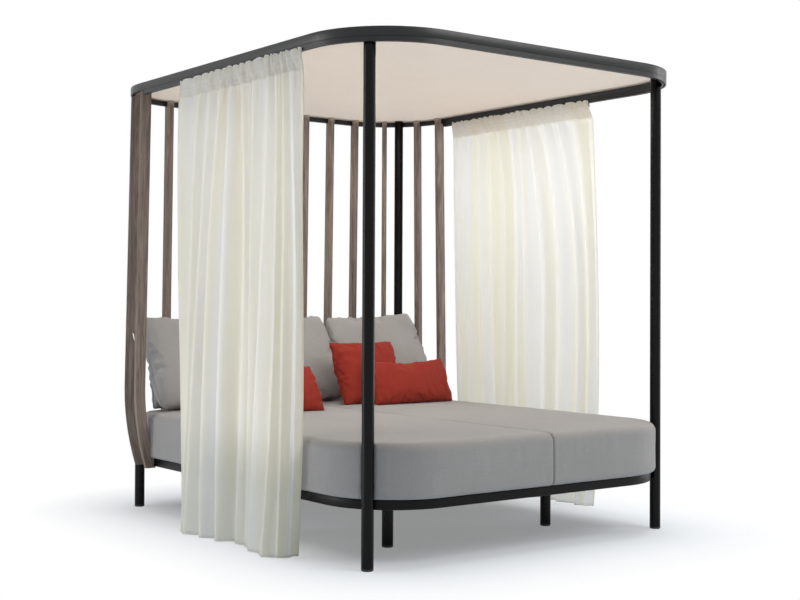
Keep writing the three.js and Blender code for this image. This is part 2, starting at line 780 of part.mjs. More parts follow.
function addTracks() {
  const stopWidth = trackWidth - 2 * trackWall - 2 * trackStopClearance;
  const stopHeight = trackHeight - 2 * trackWall - 2 * trackStopClearance;
  for (const [side, sign] of [['left', -1], ['right', 1]]) {
    addMesh(model, `${side}_curtain_track`, trackGeometry(sign), colours.steel);
    const ends = [['front', trackFront + trackStopLength / 2], ['rear', trackRear - trackStopLength / 2]];
    for (const [end, y] of ends) {
      const stop = new THREE.BoxGeometry(stopWidth, trackStopLength, stopHeight);
      addMesh(model, `${side}_track_${end}_stop`, stop, colours.plastic)
        .position.set(sign * trackX, y, trackBottom + trackHeight / 2);
    }
  }
}

// The middle line of a hanging curtain at one height, as a curve of folds from its front end to its
// rear end. share runs 0 to 1 along the curtain, drop runs 0 at the heading to 1 at the hem
function curtainPoint(curtain, share, drop) {
  const { side, folds, frontShare, headShare, hemShare, hemShift, flare } = curtain;
  const ease = drop ** 1.6;
  const trackLength = trackRear - trackFront;
  const headWidth = headShare * trackLength;
  const width = lerp(1, hemShare, ease) * headWidth;
  const front = trackFront + trackStopLength + frontShare * trackLength;
  const middle = front + headWidth / 2 - hemShift * ease;
  const swell = 1 + 0.35 * Math.sin(2 * Math.PI * (share * 3 + 0.2)) * drop;
  const depth = drop < 0.5
    ? lerp(curtainHeadFold, curtainBodyFold, 2 * drop)
    : lerp(curtainBodyFold, curtainHemFold, 2 * drop - 1);
  const wander = 0.16 * Math.sin(2 * Math.PI * share * 2.5) * drop;
  const phase = 2 * Math.PI * (folds * share + wander);
  const x = side * (trackX + flare * drop ** 2) + depth * swell * Math.sin(phase);
  const y = middle + (share - 0.5) * width + 0.25 * depth * Math.sin(2 * phase) * drop;
  return new THREE.Vector2(x, y);
}

// A point that lies off a curtain's fold line by a distance, along the line's normal towards +X
function beside(curtain, share, drop, offset) {
  const reach = 0.25 / (curtain.folds * foldSteps);
  const along = curtainPoint(curtain, share + reach, drop)
    .sub(curtainPoint(curtain, share - reach, drop)).normalize();
  return curtainPoint(curtain, share, drop)
    .add(new THREE.Vector2(along.y, -along.x).multiplyScalar(offset));
}

// A folded sheet of one thickness through a list of drops, moved towards the bed by setIn
function foldedSheet(curtain, drops, thickness, setIn) {
  const columns = curtain.folds * foldSteps;
  const loops = drops.map((drop) => {
    const z = lerp(curtainTop, curtainFloorGap, drop);
    const faces = [-1, 1].map((face) => {
      const offset = face * thickness / 2 - curtain.side * setIn;
      const line = [];
      for (let column = 0; column <= columns; column += 1) {
        const { x, y } = beside(curtain, column / columns, drop, offset);
        line.push(new THREE.Vector3(x, y, z));
      }
      return line;
    });
    return [...faces[1], ...faces[0].reverse()];
  });
  return skinOfStrips(loops.reverse());
}

// Like skinOfLoops, but for thin folded loops: the end rows are filled straight across the sheet
function skinOfStrips(loops) {
  const count = loops[0].length;
  const faces = [];
  for (let row = 0; row < loops.length - 1; row += 1) {
    for (let i = 0; i < count; i += 1) {
      const j = (i + 1) % count;
      const low = row * count;
      const high = low + count;
      faces.push(low + i, low + j, high + j, low + i, high + j, high + i);
    }
  }
  const top = (loops.length - 1) * count;
  for (let i = 0; i < count / 2 - 1; i += 1) {
    const across = count - 1 - i;
    faces.push(i, across, across - 1, i, across - 1, i + 1);
    faces.push(top + i, top + across - 1, top + across, top + i, top + i + 1, top + across - 1);
  }
  const geometry = new THREE.BufferGeometry().setFromPoints(loops.flat());
  geometry.setIndex(faces);
  geometry.computeVertexNormals();
  return geometry;
}

// The heading tape follows the folds on the bed's side, with a glider where each fold crosses the track
function headingTape(curtain) {
  const setIn = curtainThickness / 2 + seatGap + tapeThickness / 2;
  const drops = [tapeDrop, tapeDrop + tapeHeight].map((fall) => fall / (curtainTop - curtainFloorGap));
  const stemRadius = gliderStem / 2;
  const stemBottom = curtainTop - tapeDrop - tapeHeight / 2;
  const headMiddle = trackBottom + trackWall + seatGap + gliderHeadHeight / 2;
  let tape = solidOf(foldedSheet(curtain, drops, tapeThickness, setIn));
  for (let fold = 0; fold < curtain.folds; fold += 1) {
    const { x, y } = gliderPlace(curtain, fold, drops[0], setIn + stemRadius);
    const stem = new THREE.CylinderGeometry(stemRadius, stemRadius, headMiddle - stemBottom, foldSteps);
    stem.rotateX(Math.PI / 2);
    stem.translate(x, y, (headMiddle + stemBottom) / 2);
    const head = new THREE.BoxGeometry(gliderHeadWidth, gliderHeadLength, gliderHeadHeight);
    head.translate(x, y, headMiddle);
    tape = tape.add(solidOf(stem)).add(solidOf(head));
  }
  return geometryOf(tape);
}

// The place in one fold where a line beside the curtain passes under the middle of the track
function gliderPlace(curtain, fold, drop, setIn) {
  const offset = -curtain.side * setIn;
  const target = curtain.side * trackX;
  let crest = (fold + 0.25) / curtain.folds;
  let trough = (fold + 0.75) / curtain.folds;
  for (let halving = 0; halving < 30; halving += 1) {
    const middle = (crest + trough) / 2;
    const beyond = beside(curtain, middle, drop, offset).x > target;
    crest = beyond ? middle : crest;
    trough = beyond ? trough : middle;
  }
  return { x: target, y: beside(curtain, crest, drop, offset).y };
}

function addCurtains() {
  const drops = [0, 0.035, 0.4, 0.8, 1];
  for (const [side, curtain] of [['left', leftCurtain], ['right', rightCurtain]]) {
    const cloth = foldedSheet(curtain, drops, curtainThickness, 0);
    addMesh(model, `${side}_curtain`, cloth, colours.curtain);
    addMesh(model, `${side}_heading_tape`, headingTape(curtain), colours.curtain);
  }
}

addPostsAndLegs();
addBaseRing();
addCrossbeams();
addDecks();
addCanopyRing();
addCanopyPanel();
addSlats();
addMattresses();
addCushions();
addTracks();
addCurtains();

export default model;
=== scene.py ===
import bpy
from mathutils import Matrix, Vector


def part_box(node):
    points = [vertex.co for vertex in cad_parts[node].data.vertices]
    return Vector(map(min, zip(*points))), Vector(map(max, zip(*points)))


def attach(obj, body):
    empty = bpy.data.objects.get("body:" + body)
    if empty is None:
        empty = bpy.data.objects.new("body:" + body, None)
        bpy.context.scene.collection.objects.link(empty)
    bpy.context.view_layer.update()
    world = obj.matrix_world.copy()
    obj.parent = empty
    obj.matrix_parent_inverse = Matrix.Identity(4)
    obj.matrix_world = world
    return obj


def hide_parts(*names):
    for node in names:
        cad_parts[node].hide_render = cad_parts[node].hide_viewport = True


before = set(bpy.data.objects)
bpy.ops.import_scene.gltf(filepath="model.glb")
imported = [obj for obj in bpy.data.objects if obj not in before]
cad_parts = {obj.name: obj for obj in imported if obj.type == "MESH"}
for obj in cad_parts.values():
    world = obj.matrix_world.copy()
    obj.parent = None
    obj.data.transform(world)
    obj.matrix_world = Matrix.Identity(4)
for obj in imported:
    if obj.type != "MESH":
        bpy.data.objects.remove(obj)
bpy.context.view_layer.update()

import math

import bmesh
import bpy
import numpy as np
from mathutils import Matrix, Vector, noise

# An outdoor daybed with a canopy. Metres, +X to the right, -Y towards the open foot end, +Z up, with
# the origin on the floor in the middle of the footprint.

scene = bpy.context.scene
scene.view_settings.view_transform = "Standard"


# ---- helpers: objects and meshes

def new_object(name, data):
    obj = bpy.data.objects.new(name, data)
    scene.collection.objects.link(obj)
    return obj


def mesh_object(name, verts, faces, material=None):
    mesh = bpy.data.meshes.new(name)
    mesh.from_pydata([tuple(v) for v in verts], [], [tuple(f) for f in faces])
    mesh.validate()
    mesh.shade_smooth()
    obj = new_object(name, mesh)
    if material:
        mesh.materials.append(material)
    return obj


def grid_faces(columns, rows):
    """The quads of a grid whose points run along its columns, row after row."""
    stride = columns + 1
    return [(a, a + 1, a + stride + 1, a + stride)
            for j in range(rows) for a in range(j * stride, j * stride + columns)]


def values_of(items, key, width=1, kind=np.float64):
    result = np.empty(len(items) * width, kind)
    items.foreach_get(key, result)
    return result.reshape(-1, width) if width > 1 else result


def coordinates(mesh):
    return values_of(mesh.vertices, "co", 3)


def set_coordinates(mesh, co):
    mesh.vertices.foreach_set("co", np.ascontiguousarray(co, np.float64).ravel())
    mesh.update()


def smooth_noise(points, scale, seed):
    offset = Vector((seed * 7.13, seed * 3.71, seed * 1.37))
    return np.array([noise.noise(Vector(p) * scale + offset) for p in points])


def smoothstep(low, high, value):
    t = np.clip((value - low) / (high - low), 0, 1)
    return t * t * (3 - 2 * t)


def apply_modifiers(obj):
    depsgraph = bpy.context.evaluated_depsgraph_get()
    made = bpy.data.meshes.new_from_object(obj.evaluated_get(depsgraph))
    obj.modifiers.clear()
    old = obj.data
    obj.data = made
    made.name = obj.name
    bpy.data.meshes.remove(old)


def soft_normals(mesh, angle):
    """Rounded faces shade as one: a corner takes the mean of the faces there that nearly face its way."""
    mesh.shade_smooth()
    count = len(mesh.loops)
    co = coordinates(mesh)[values_of(mesh.loops, "vertex_index", kind=np.int32)]
    start = values_of(mesh.polygons, "loop_start", kind=np.int32)
    total = values_of(mesh.polygons, "loop_total", kind=np.int32)
    face = np.repeat(np.arange(len(total)), total)
    place = np.arange(count) - start[face]
    after = co[start[face] + (place + 1) % total[face]] - co
    before = co[start[face] + (place - 1) % total[face]] - co
    lengths = np.linalg.norm(after, axis=1) * np.linalg.norm(before, axis=1)
    cosine = (after * before).sum(1) / np.maximum(lengths, 1e-12)
    facing = values_of(mesh.polygons, "normal", 3)[face]
    weighted = facing * np.arccos(np.clip(cosine, -1, 1))[:, None]
    group = np.unique(np.round(co, 5), axis=0, return_inverse=True)[1].ravel()
    order = np.argsort(group, kind="stable")
    ends = np.flatnonzero(np.diff(group[order])) + 1
    result = np.empty_like(facing)
    limit = math.cos(math.radians(angle))
    for members in np.split(order, ends):
        near = facing[members] @ facing[members].T > limit
        result[members] = near @ weighted[members]
    result /= np.maximum(np.linalg.norm(result, axis=1), 1e-9)[:, None]
    mesh.normals_split_custom_set(result.tolist())


def tube(name, points, radius, material, cyclic=False, sides=6):
    """A round rod along points, as a mesh."""
    points = [Vector(p) for p in points]
    count = len(points)
    verts, faces = [], []
    normal = None
    for i, point in enumerate(points):
        before = points[i - 1] if (i or cyclic) else points[i]
        after = points[(i + 1) % count] if (i < count - 1 or cyclic) else points[i]
        along = (after - before).normalized()
        if normal is None:
            normal = along.orthogonal().normalized()
        normal = (normal - along * normal.dot(along)).normalized()
        other = along.cross(normal)
        for s in range(sides):
            turn = 2 * math.pi * s / sides
            verts.append(point + (normal * math.cos(turn) + other * math.sin(turn)) * radius)
    for i in range(count if cyclic else count - 1):
        low, high = i * sides, (i + 1) % count * sides
        for s in range(sides):
            t = (s + 1) % sides
            faces.append((low + s, low + t, high + t, high + s))
    if not cyclic:
        faces.append(tuple(reversed(range(sides))))
        faces.append(tuple(range((count - 1) * sides, count * sides)))
    return mesh_object(name, verts, faces, material)


# ---- helpers: node materials

def add_node(tree, kind, inputs=None, **settings):
    """A node with its settings; an input that is given a socket is linked to it."""
    made = tree.nodes.new(kind)
    for key, value in settings.items():
        setattr(made, key, value)
    for key, value in (inputs or {}).items():
        if isinstance(value, bpy.types.NodeSocket):
            tree.links.new(value, made.inputs[key])
        else:
            made.inputs[key].default_value = value
    return made


def seen_rays(tree):
    """1 for rays from the camera, mirrored rays and rays through the sheer cloth."""
    path = add_node(tree, "ShaderNodeLightPath").outputs
    second = add_node(tree, "ShaderNodeMath", {0: path["Is Glossy Ray"], 1: path["Is Transmission Ray"]},
                      operation="MAXIMUM").outputs[0]
    return add_node(tree, "ShaderNodeMath", {0: path["Is Camera Ray"], 1: second},
                    operation="MAXIMUM").outputs[0]


class Shader:
    """A material whose nodes are made one after another."""

    def __init__(self, name):
        self.material = bpy.data.materials.new(name)
        self.material.use_nodes = True
        self.tree = self.material.node_tree
        self.tree.nodes.clear()
        self.output = self.tree.nodes.new("ShaderNodeOutputMaterial")
        self.coordinates = self.node("ShaderNodeTexCoord").outputs["Object"]

    def node(self, kind, inputs=None, **settings):
        return add_node(self.tree, kind, inputs, **settings)

    def math(self, operation, a, b=0.0):
        return self.node("ShaderNodeMath", {0: a, 1: b}, operation=operation).outputs[0]

    def scaled(self, scale, source=None):
        inputs = {"Vector": source or self.coordinates, "Scale": scale}
        return self.node("ShaderNodeMapping", inputs).outputs[0]

    def height(self):
        return self.node("ShaderNodeSeparateXYZ", {0: self.coordinates}).outputs[2]

    def noise(self, scale, detail=2.0, roughness=0.5, source=None, distortion=0.0):
        return self.node("ShaderNodeTexNoise", {
            "Vector": source or self.coordinates, "Scale": scale, "Detail": detail,
            "Roughness": roughness, "Distortion": distortion}).outputs["Fac"]

    def ramp(self, fac, stops):
        ramp = self.node("ShaderNodeValToRGB", {"Fac": fac})
        elements = ramp.color_ramp.elements
        while len(elements) < len(stops):
            elements.new(0.5)
        for element, (place, colour) in zip(elements, stops):
            element.position = place
            element.color = (*colour, 1)
        return ramp.outputs["Color"]

    def range(self, value, low, high, to_low=0.0, to_high=1.0):
        return self.node("ShaderNodeMapRange", {
            "Value": value, "From Min": low, "From Max": high,
            "To Min": to_low, "To Max": to_high}).outputs[0]

    def mix(self, fac, a, b):
        mixer = self.node("ShaderNodeMix", data_type="RGBA")
        for key, value in (("Factor", fac), ("A", a), ("B", b)):
            kind = "VALUE" if key == "Factor" else "RGBA"
            socket = next(s for s in mixer.inputs if s.name == key and s.type == kind)
            if isinstance(value, bpy.types.NodeSocket):
                self.tree.links.new(value, socket)
            else:
                socket.default_value = value if key == "Factor" else (*value, 1)
        return next(s for s in mixer.outputs if s.type == "RGBA")

    def bump(self, height, distance, strength, normal=None):
        inputs = {"Height": height, "Distance": distance, "Strength": strength}
        if normal:
            inputs["Normal"] = normal
        return self.node("ShaderNodeBump", inputs).outputs["Normal"]

    def weave(self, pitch):
        """A plain weave over and under, in the object's own axes."""
        wide = self.scaled((2 * math.pi / pitch,) * 3)
        parts = self.node("ShaderNodeSeparateXYZ", {0: wide}).outputs
        x, y, z = (self.math("SINE", part) for part in parts)
        both = self.math("ADD", self.math("MULTIPLY", x, y), self.math("MULTIPLY", y, z))
        return self.math("ADD", both, self.math("MULTIPLY", z, x))

    def principled(self, colour, roughness, normal, **settings):
        inputs = {"Base Color": colour, "Roughness": roughness, "Normal": normal}
        inputs.update({key.replace("_", " "): value for key, value in settings.items()})
        return self.node("ShaderNodeBsdfPrincipled", inputs).outputs[0]

    def translucent(self, face, colour, normal, share):
        """The cloth's face, with a share of the light coming through it."""
        lit = self.node("ShaderNodeBsdfTranslucent", {"Color": colour, "Normal": normal}).outputs[0]
        return self.node("ShaderNodeMixShader", {0: share, 1: face, 2: lit}).outputs[0]

    def finish(self, shader):
        self.tree.links.new(shader, self.output.inputs["Surface"])
        return self.material


def srgb(r, g, b):
    return tuple((c / 255 / 12.92) if c <= 10 else ((c / 255 + 0.055) / 1.055) ** 2.4 for c in (r, g, b))


def metal_material(name, dark, light, roughness, shine):
    """Powder-coated steel: near black, satin, with the coat's fine orange peel."""
    s = Shader(name)
    colour = s.mix(s.range(s.noise(9, 3), 0.35, 0.65), dark, light)
    normal = s.bump(s.noise(320, 2), 0.0004, 0.3, s.bump(s.noise(1400, 2), 0.00012, 0.5))
    rough = s.range(s.noise(60, 3), 0.3, 0.7, roughness - 0.05, roughness + 0.06)
    return s.finish(s.principled(colour, rough, normal, Specular_IOR_Level=shine))


SLAT_TIP = 2.112


def timber_material():
    """Weathered hardwood: grey-brown, its grain running along each stave, paler over each stave's top 18 mm."""
    s = Shader("weathered_timber")
    grain_place = s.node("ShaderNodeAttribute", attribute_name="grain").outputs["Vector"]
    fibre = s.noise(330, 5, 0.62, grain_place, 0.25)
    band = s.noise(70, 3, 0.55, grain_place, 0.5)
    patch = s.noise(4, 3, 0.6, s.scaled((1, 1, 6), grain_place))
    grain = s.math("ADD", s.math("MULTIPLY", fibre, 0.5), s.math("MULTIPLY", band, 0.5))
    colour = s.ramp(grain, [
        (0.33, srgb(92, 79, 70)), (0.45, srgb(121, 107, 98)),
        (0.54, srgb(145, 130, 119)), (0.66, srgb(171, 156, 145))])
    colour = s.mix(s.range(patch, 0.35, 0.7, 0, 0.5), colour, srgb(146, 131, 119))
    pores = s.range(s.noise(700, 2, 0.5, s.scaled((1, 1, 0.5), grain_place)), 0.62, 0.70)
    colour = s.mix(s.math("MULTIPLY", pores, 0.4), colour, srgb(66, 52, 44))
    # each stave turns paler over its top 18 mm
    tip = s.range(s.height(), SLAT_TIP - 0.018, SLAT_TIP)
    colour = s.mix(s.math("MULTIPLY", tip, 0.6), colour, srgb(206, 190, 172))
    normal = s.bump(grain, 0.0014, 0.5, s.bump(pores, -0.0005, 0.4))
    rough = s.range(grain, 0.3, 0.7, 0.86, 0.68)
    return s.finish(s.principled(colour, rough, normal, Specular_IOR_Level=0.3))


def cloth_material(name, colour, deep, pale, pitch, melange=0.5, sheen=0.12, relief=0.00045, glow=0.0):
    """Woven upholstery cloth: melange yarns, faint slubs both ways and a fine weave."""
    s = Shader(name)
    yarn = s.noise(520, 3, 0.6)
    across = s.noise(60, 3, 0.6, s.scaled((0.25, 6, 6)))
    upright = s.noise(60, 3, 0.6, s.scaled((6, 6, 0.25)))
    slub = s.math("ADD", s.math("MULTIPLY", across, 0.5), s.math("MULTIPLY", upright, 0.5))
    tone = s.mix(s.range(yarn, 0.36, 0.64, 0, 1), deep, pale)
    base = s.mix(melange, colour, tone)
    base = s.mix(s.range(slub, 0.4, 0.62, 0, 0.30), base, pale)
    base = s.mix(s.range(s.noise(5, 3, 0.5), 0.3, 0.7, 0, 0.16), base, deep)
    normal = s.bump(s.weave(pitch), relief, 0.35, s.bump(slub, 0.0012, 0.35, s.bump(yarn, relief, 0.3)))
    face = s.principled(base, 0.92, normal, Specular_IOR_Level=0.2, Sheen_Weight=sheen, Sheen_Roughness=0.4)
    return s.finish(s.translucent(face, base, normal, glow) if glow else face)


STITCH_PITCH = 0.0190


def curtain_material(name, colour, warm, thin, glow, stitched=False):
    """Sheer curtain cloth that lets light and a little of what is behind it through."""
    s = Shader(name)
    upright = s.noise(80, 3, 0.55, s.scaled((5, 5, 0.12)))
    yarn = s.noise(700, 2, 0.6)
    fold = s.node("ShaderNodeAttribute", attribute_name="fold").outputs["Vector"]
    crest, own, _ = s.node("ShaderNodeSeparateXYZ", {0: fold}).outputs
    # the warm shift: a painted glow of light through doubled cloth from fold to fold, and the cloth's own
    # upright streaks
    tone = s.math("ADD", s.math("MULTIPLY", own, 0.75), s.range(upright, 0.4, 0.65, 0, 0.25))
    base = s.mix(tone, colour, warm)
    base = s.mix(s.range(yarn, 0.4, 0.6, 0, 0.08), base, srgb(226, 224, 216))
    # a painted highlight along each fold's crest
    base = s.mix(s.math("MULTIPLY", crest, 0.9), base, srgb(252, 252, 250))
    normal = s.bump(s.weave(0.0011), 0.0002, 0.3, s.bump(upright, 0.0008, 0.3))
    if stitched:
        rows = s.math("SINE", s.math("MULTIPLY", s.height(), 2 * math.pi / STITCH_PITCH))
        pucker = s.noise(130, 2, 0.5, s.scaled((1, 1, 0.35)))
        gather = s.range(s.noise(60, 2, 0.5, s.scaled((1, 1, 0.4))), 0.56, 0.70)
        seam = s.math("MULTIPLY", s.range(rows, 0.35, 1.0), s.range(pucker, 0.42, 0.62, 0.0, 1))
        base = s.mix(s.math("MULTIPLY", s.math("MAXIMUM", seam, gather), 0.34), base, srgb(232, 216, 184))
        normal = s.bump(seam, -0.0012, 0.5, s.bump(pucker, 0.004, 0.7, normal))
    face = s.principled(base, 0.85, normal, Specular_IOR_Level=0.15, Sheen_Weight=0.5, Sheen_Roughness=0.3)
    body = s.translucent(face, base, normal, glow)
    clear = s.node("ShaderNodeBsdfTransparent", {"Color": (1, 1, 1, 1)}).outputs[0]
    return s.finish(s.node("ShaderNodeMixShader", {0: thin, 1: body, 2: clear}).outputs[0])


def plastic_material():
    s = Shader("glide_plastic")
    colour = srgb(14, 14, 15)
    base = s.mix(s.range(s.noise(40, 2), 0.3, 0.7), colour, tuple(c * 1.5 + 0.004 for c in colour))
    return s.finish(s.principled(base, 0.55, s.bump(s.noise(900, 2), 0.0002, 0.4)))


def steel_material():
    s = Shader("brushed_steel")
    lines = s.noise(900, 3, 0.5, s.scaled((1, 1, 0.05)))
    base = s.mix(s.range(lines, 0.3, 0.7), (0.42, 0.42, 0.43), (0.62, 0.62, 0.63))
    return s.finish(s.principled(base, 0.32, s.bump(lines, 0.0002, 0.5), Metallic=1.0))


# the frame's one black powder coat in lit and shaded copies: painted lighter and bluer on the canopy ring,
# crossbeams and tracks, painted darker on the posts, legs and base ring
RING_METAL = metal_material("powder_coat_painted_lighter", srgb(14, 16, 19), srgb(20, 22, 26), roughness=0.38, shine=0.42)
POST_METAL = metal_material("post_coat_painted_darker", srgb(5, 5, 6), srgb(8, 8, 9), roughness=0.22, shine=0.15)
BASE_METAL = metal_material("base_coat_painted_darker", srgb(9, 9, 10), srgb(12, 12, 13), roughness=0.38, shine=0.14)
DECK_METAL = metal_material("deck_coat", srgb(26, 26, 28), srgb(33, 33, 35), roughness=0.5, shine=0.4)
TIMBER = timber_material()
PLASTIC = plastic_material()
STEEL = steel_material()
GREY = cloth_material(
    "grey_weave", srgb(170, 167, 165), srgb(149, 145, 143), srgb(191, 188, 186), pitch=0.0016, sheen=0.14)
WELT = cloth_material(
    "grey_welt", srgb(166, 163, 160), srgb(144, 140, 137), srgb(186, 183, 180), pitch=0.0012, sheen=0.2)
RED = cloth_material(
    "red_weave", srgb(156, 49, 38), srgb(132, 37, 28), srgb(172, 65, 51), pitch=0.0014, melange=0.45,
    sheen=0.10)
CANOPY = cloth_material(
    "canopy_weave", srgb(231, 224, 217), srgb(223, 215, 207), srgb(238, 232, 225), pitch=0.0014, melange=0.4,
    sheen=0.05, relief=0.0002, glow=0.45)
SHEER = curtain_material("sheer_cloth", srgb(250, 251, 251), srgb(250, 248, 236), thin=0.16, glow=0.52)
HEADING = curtain_material(
    "heading_cloth", srgb(254, 253, 248), srgb(252, 247, 236), thin=0.02, glow=0.24, stitched=True)


# ---- the frame's own pieces: smooth where they are round, each with its material, the one black powder coat painted lighter or darker piece by piece

# faces that turn by less than this many degrees shade as one round face
ROUND_ANGLE, SLAT_ANGLE = 35, 20
# how much slower the timber's grain changes along a stave than across it
GRAIN_STRETCH = 0.035


def finish_node(name, material, angle=ROUND_ANGLE):
    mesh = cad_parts[name].data
    mesh.materials.clear()
    mesh.materials.append(material)
    soft_normals(mesh, angle)
    return mesh


def mark_grain(mesh, seed):
    """Each point's place across, through and along its stave, so that the grain follows the bend."""
    co = coordinates(mesh)
    middle = co.mean(0)
    axes = np.linalg.svd(co - middle, full_matrices=False)[2]
    along, second, third = ((co - middle) @ axis for axis in axes)
    bend = np.polyval(np.polyfit(along, second, 4), along)
    across, through = second - bend + seed * 1.7, third + seed * 3.1
    place = np.column_stack((across, through, along * GRAIN_STRETCH + seed * 0.7))
    grain = mesh.attributes.new("grain", "FLOAT_VECTOR", "POINT")
    grain.data.foreach_set("vector", place.astype(np.float32).ravel())


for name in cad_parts:
    if name.startswith("slat_"):
        mark_grain(finish_node(name, TIMBER, SLAT_ANGLE), int(name[5:]))
    elif name.endswith(("_cap", "_stop")):
        finish_node(name, PLASTIC)
    elif name.endswith("_deck"):
        finish_node(name, DECK_METAL)
    elif name == "tieback_hook":
        finish_node(name, STEEL)
    elif name.endswith(("_post", "_leg")):
        finish_node(name, POST_METAL)
    elif name == "base_ring":
        finish_node(name, BASE_METAL)
    elif name.endswith(("_ring", "_crossbeam", "_track")):
        finish_node(name, RING_METAL)


# ---- canopy: one stretched sheet, a little slack in the middle, with a welt round its edge

def rounded_outline(half_x, half_y, radius, steps=14):
    points = []
    for corner, (sx, sy) in enumerate(((1, 1), (-1, 1), (-1, -1), (1, -1))):
        for step in range(steps + 1):
            angle = math.pi / 2 * (corner + step / steps)
            points.append((sx * (half_x - radius) + radius * math.cos(angle),
                           sy * (half_y - radius) + radius * math.sin(angle)))
    return points


def into_corner(x, y, half_x, half_y, radius):
    """A point of a square sheet, pushed in so that the sheet's corners are round."""
    over_x, over_y = abs(x) - (half_x - radius), abs(y) - (half_y - radius)
    if over_x > 0 and over_y > 0:
        reach = max(over_x, over_y) / math.hypot(over_x, over_y)
        x = math.copysign(half_x - radius + over_x * reach, x)
        y = math.copysign(half_y - radius + over_y * reach, y)
    return x, y


CANOPY_RADIUS, CANOPY_THICKNESS = 0.3757, 0.0015
CANOPY_LIFT, CANOPY_SAG = 0.0022, 0.0075
# the welt round the canopy ring's opening: half its sizes, its corners, its radius and its drop
WELT_X, WELT_Y, WELT_CORNER, WELT_RADIUS, WELT_DROP = 0.9350, 1.1325, 0.3625, 0.0034, 0.0016


def make_canopy():
    low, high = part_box("canopy_panel")
    half_x, half_y, radius = high.x, high.y, CANOPY_RADIUS
    columns, rows = 56, 66
    verts = []
    for j in range(rows + 1):
        v = 2 * j / rows - 1
        for i in range(columns + 1):
            u = 2 * i / columns - 1
            x, y = into_corner(u * half_x, v * half_y, half_x, half_y, radius)
            sag = (1 - u * u) * (1 - v * v)
            ripple = noise.noise(Vector((x * 2.1, y * 2.1, 0.4))) * 0.0016
            # pulls running in from the corners, where the cloth is held tightest
            pull = math.sin(9 * (abs(x) - abs(y))) * 0.0010 * abs(u * v)
            z = low.z + CANOPY_LIFT - CANOPY_SAG * sag ** 1.2 + (ripple + pull) * min(1, 4 * sag)
            verts.append((x, y, z))
    obj = mesh_object("canopy_cloth", verts, grid_faces(columns, rows), CANOPY)
    solid = obj.modifiers.new("thickness", "SOLIDIFY")
    solid.thickness = CANOPY_THICKNESS
    solid.offset = 1
    apply_modifiers(obj)
    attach(obj, "frame")
    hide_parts("canopy_panel")
    outline = [(x, y, low.z - WELT_DROP) for x, y in rounded_outline(WELT_X, WELT_Y, WELT_CORNER)]
    welt = tube("canopy_welt", outline, WELT_RADIUS, CANOPY, cyclic=True)
    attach(welt, "frame")


make_canopy()


# ---- mattress: two foam halves in taut covers, meeting a little to the right of the middle

# half the base ring's sizes, its corners and its top
BASE_X, BASE_Y, BASE_RADIUS, BASE_TOP = 0.881, 1.107, 0.331, 0.275
# how far the mattress stands out over the ring, and how far its upper side rises within CROWN_RUN
BULGE, HEAD_BULGE, HEIGHT, CROWN, CROWN_RUN = 0.022, 0.004, 0.226, 0.008, 0.24
TOP_ROUND, BOTTOM_ROUND, SEAM_X, SEAM_ROUND = 0.038, 0.016, 0.050, 0.010
SEAM_CORNER, SEAM_GAP, CORNER_STEPS, SEAM_STEPS = 0.004, 0.001, 20, 5
POSTS = [(sx * 0.830577, sy * 0.995605) for sx in (-1, 1) for sy in (-1, 1)]
# the cover keeps this far from a post's middle, and starts to give way a little before it
POST_CLEAR, POST_GIVE = 0.0285, 0.010
# where the head end's corners turn
REAR_X, REAR_Y = 0.55, 0.78


def mattress_surface(x, y):
    """Height of the mattress's upper side, going by how far in the place lies."""
    half_y = BASE_Y + (HEAD_BULGE if y > 0 else BULGE)
    radius = BASE_RADIUS + BULGE
    over_x, over_y = abs(x) - (BASE_X + BULGE) + radius, abs(y) - half_y + radius
    inside = radius - math.hypot(max(over_x, 0), max(over_y, 0)) - min(max(over_x, over_y), 0)
    top = BASE_TOP + HEIGHT
    if inside < TOP_ROUND:
        return top - TOP_ROUND + math.sqrt(max(TOP_ROUND ** 2 - (TOP_ROUND - max(inside, 0)) ** 2, 0))
    return top + CROWN * math.sin(math.pi / 2 * min((inside - TOP_ROUND) / CROWN_RUN, 1))


def mattress_levels():
    """The half's section: how far in the outer edge and the seam's edge lie at each height."""
    levels = []
    for k in range(7):
        turn = math.pi / 2 * k / 6
        levels.append((BOTTOM_ROUND * (1 - math.sin(turn)) + 0.004 * (1 - k / 6),
                       0.003 * (1 - math.sin(turn)), BOTTOM_ROUND * (1 - math.cos(turn))))
    levels += [(0, 0, z) for z in (0.03, 0.05, 0.08, 0.11, 0.14, 0.165)]
    for k in range(11):
        turn = math.pi / 2 * k / 10
        levels.append((TOP_ROUND * (1 - math.cos(turn)), SEAM_ROUND * (1 - math.cos(turn)),
                       HEIGHT - TOP_ROUND + TOP_ROUND * math.sin(turn)))
    for inward in (0.02, 0.05, 0.09, 0.14, 0.20, CROWN_RUN):
        levels.append((TOP_ROUND + inward, SEAM_ROUND + inward * 0.5,
                       HEIGHT + CROWN * math.sin(math.pi / 2 * inward / CROWN_RUN)))
    return levels


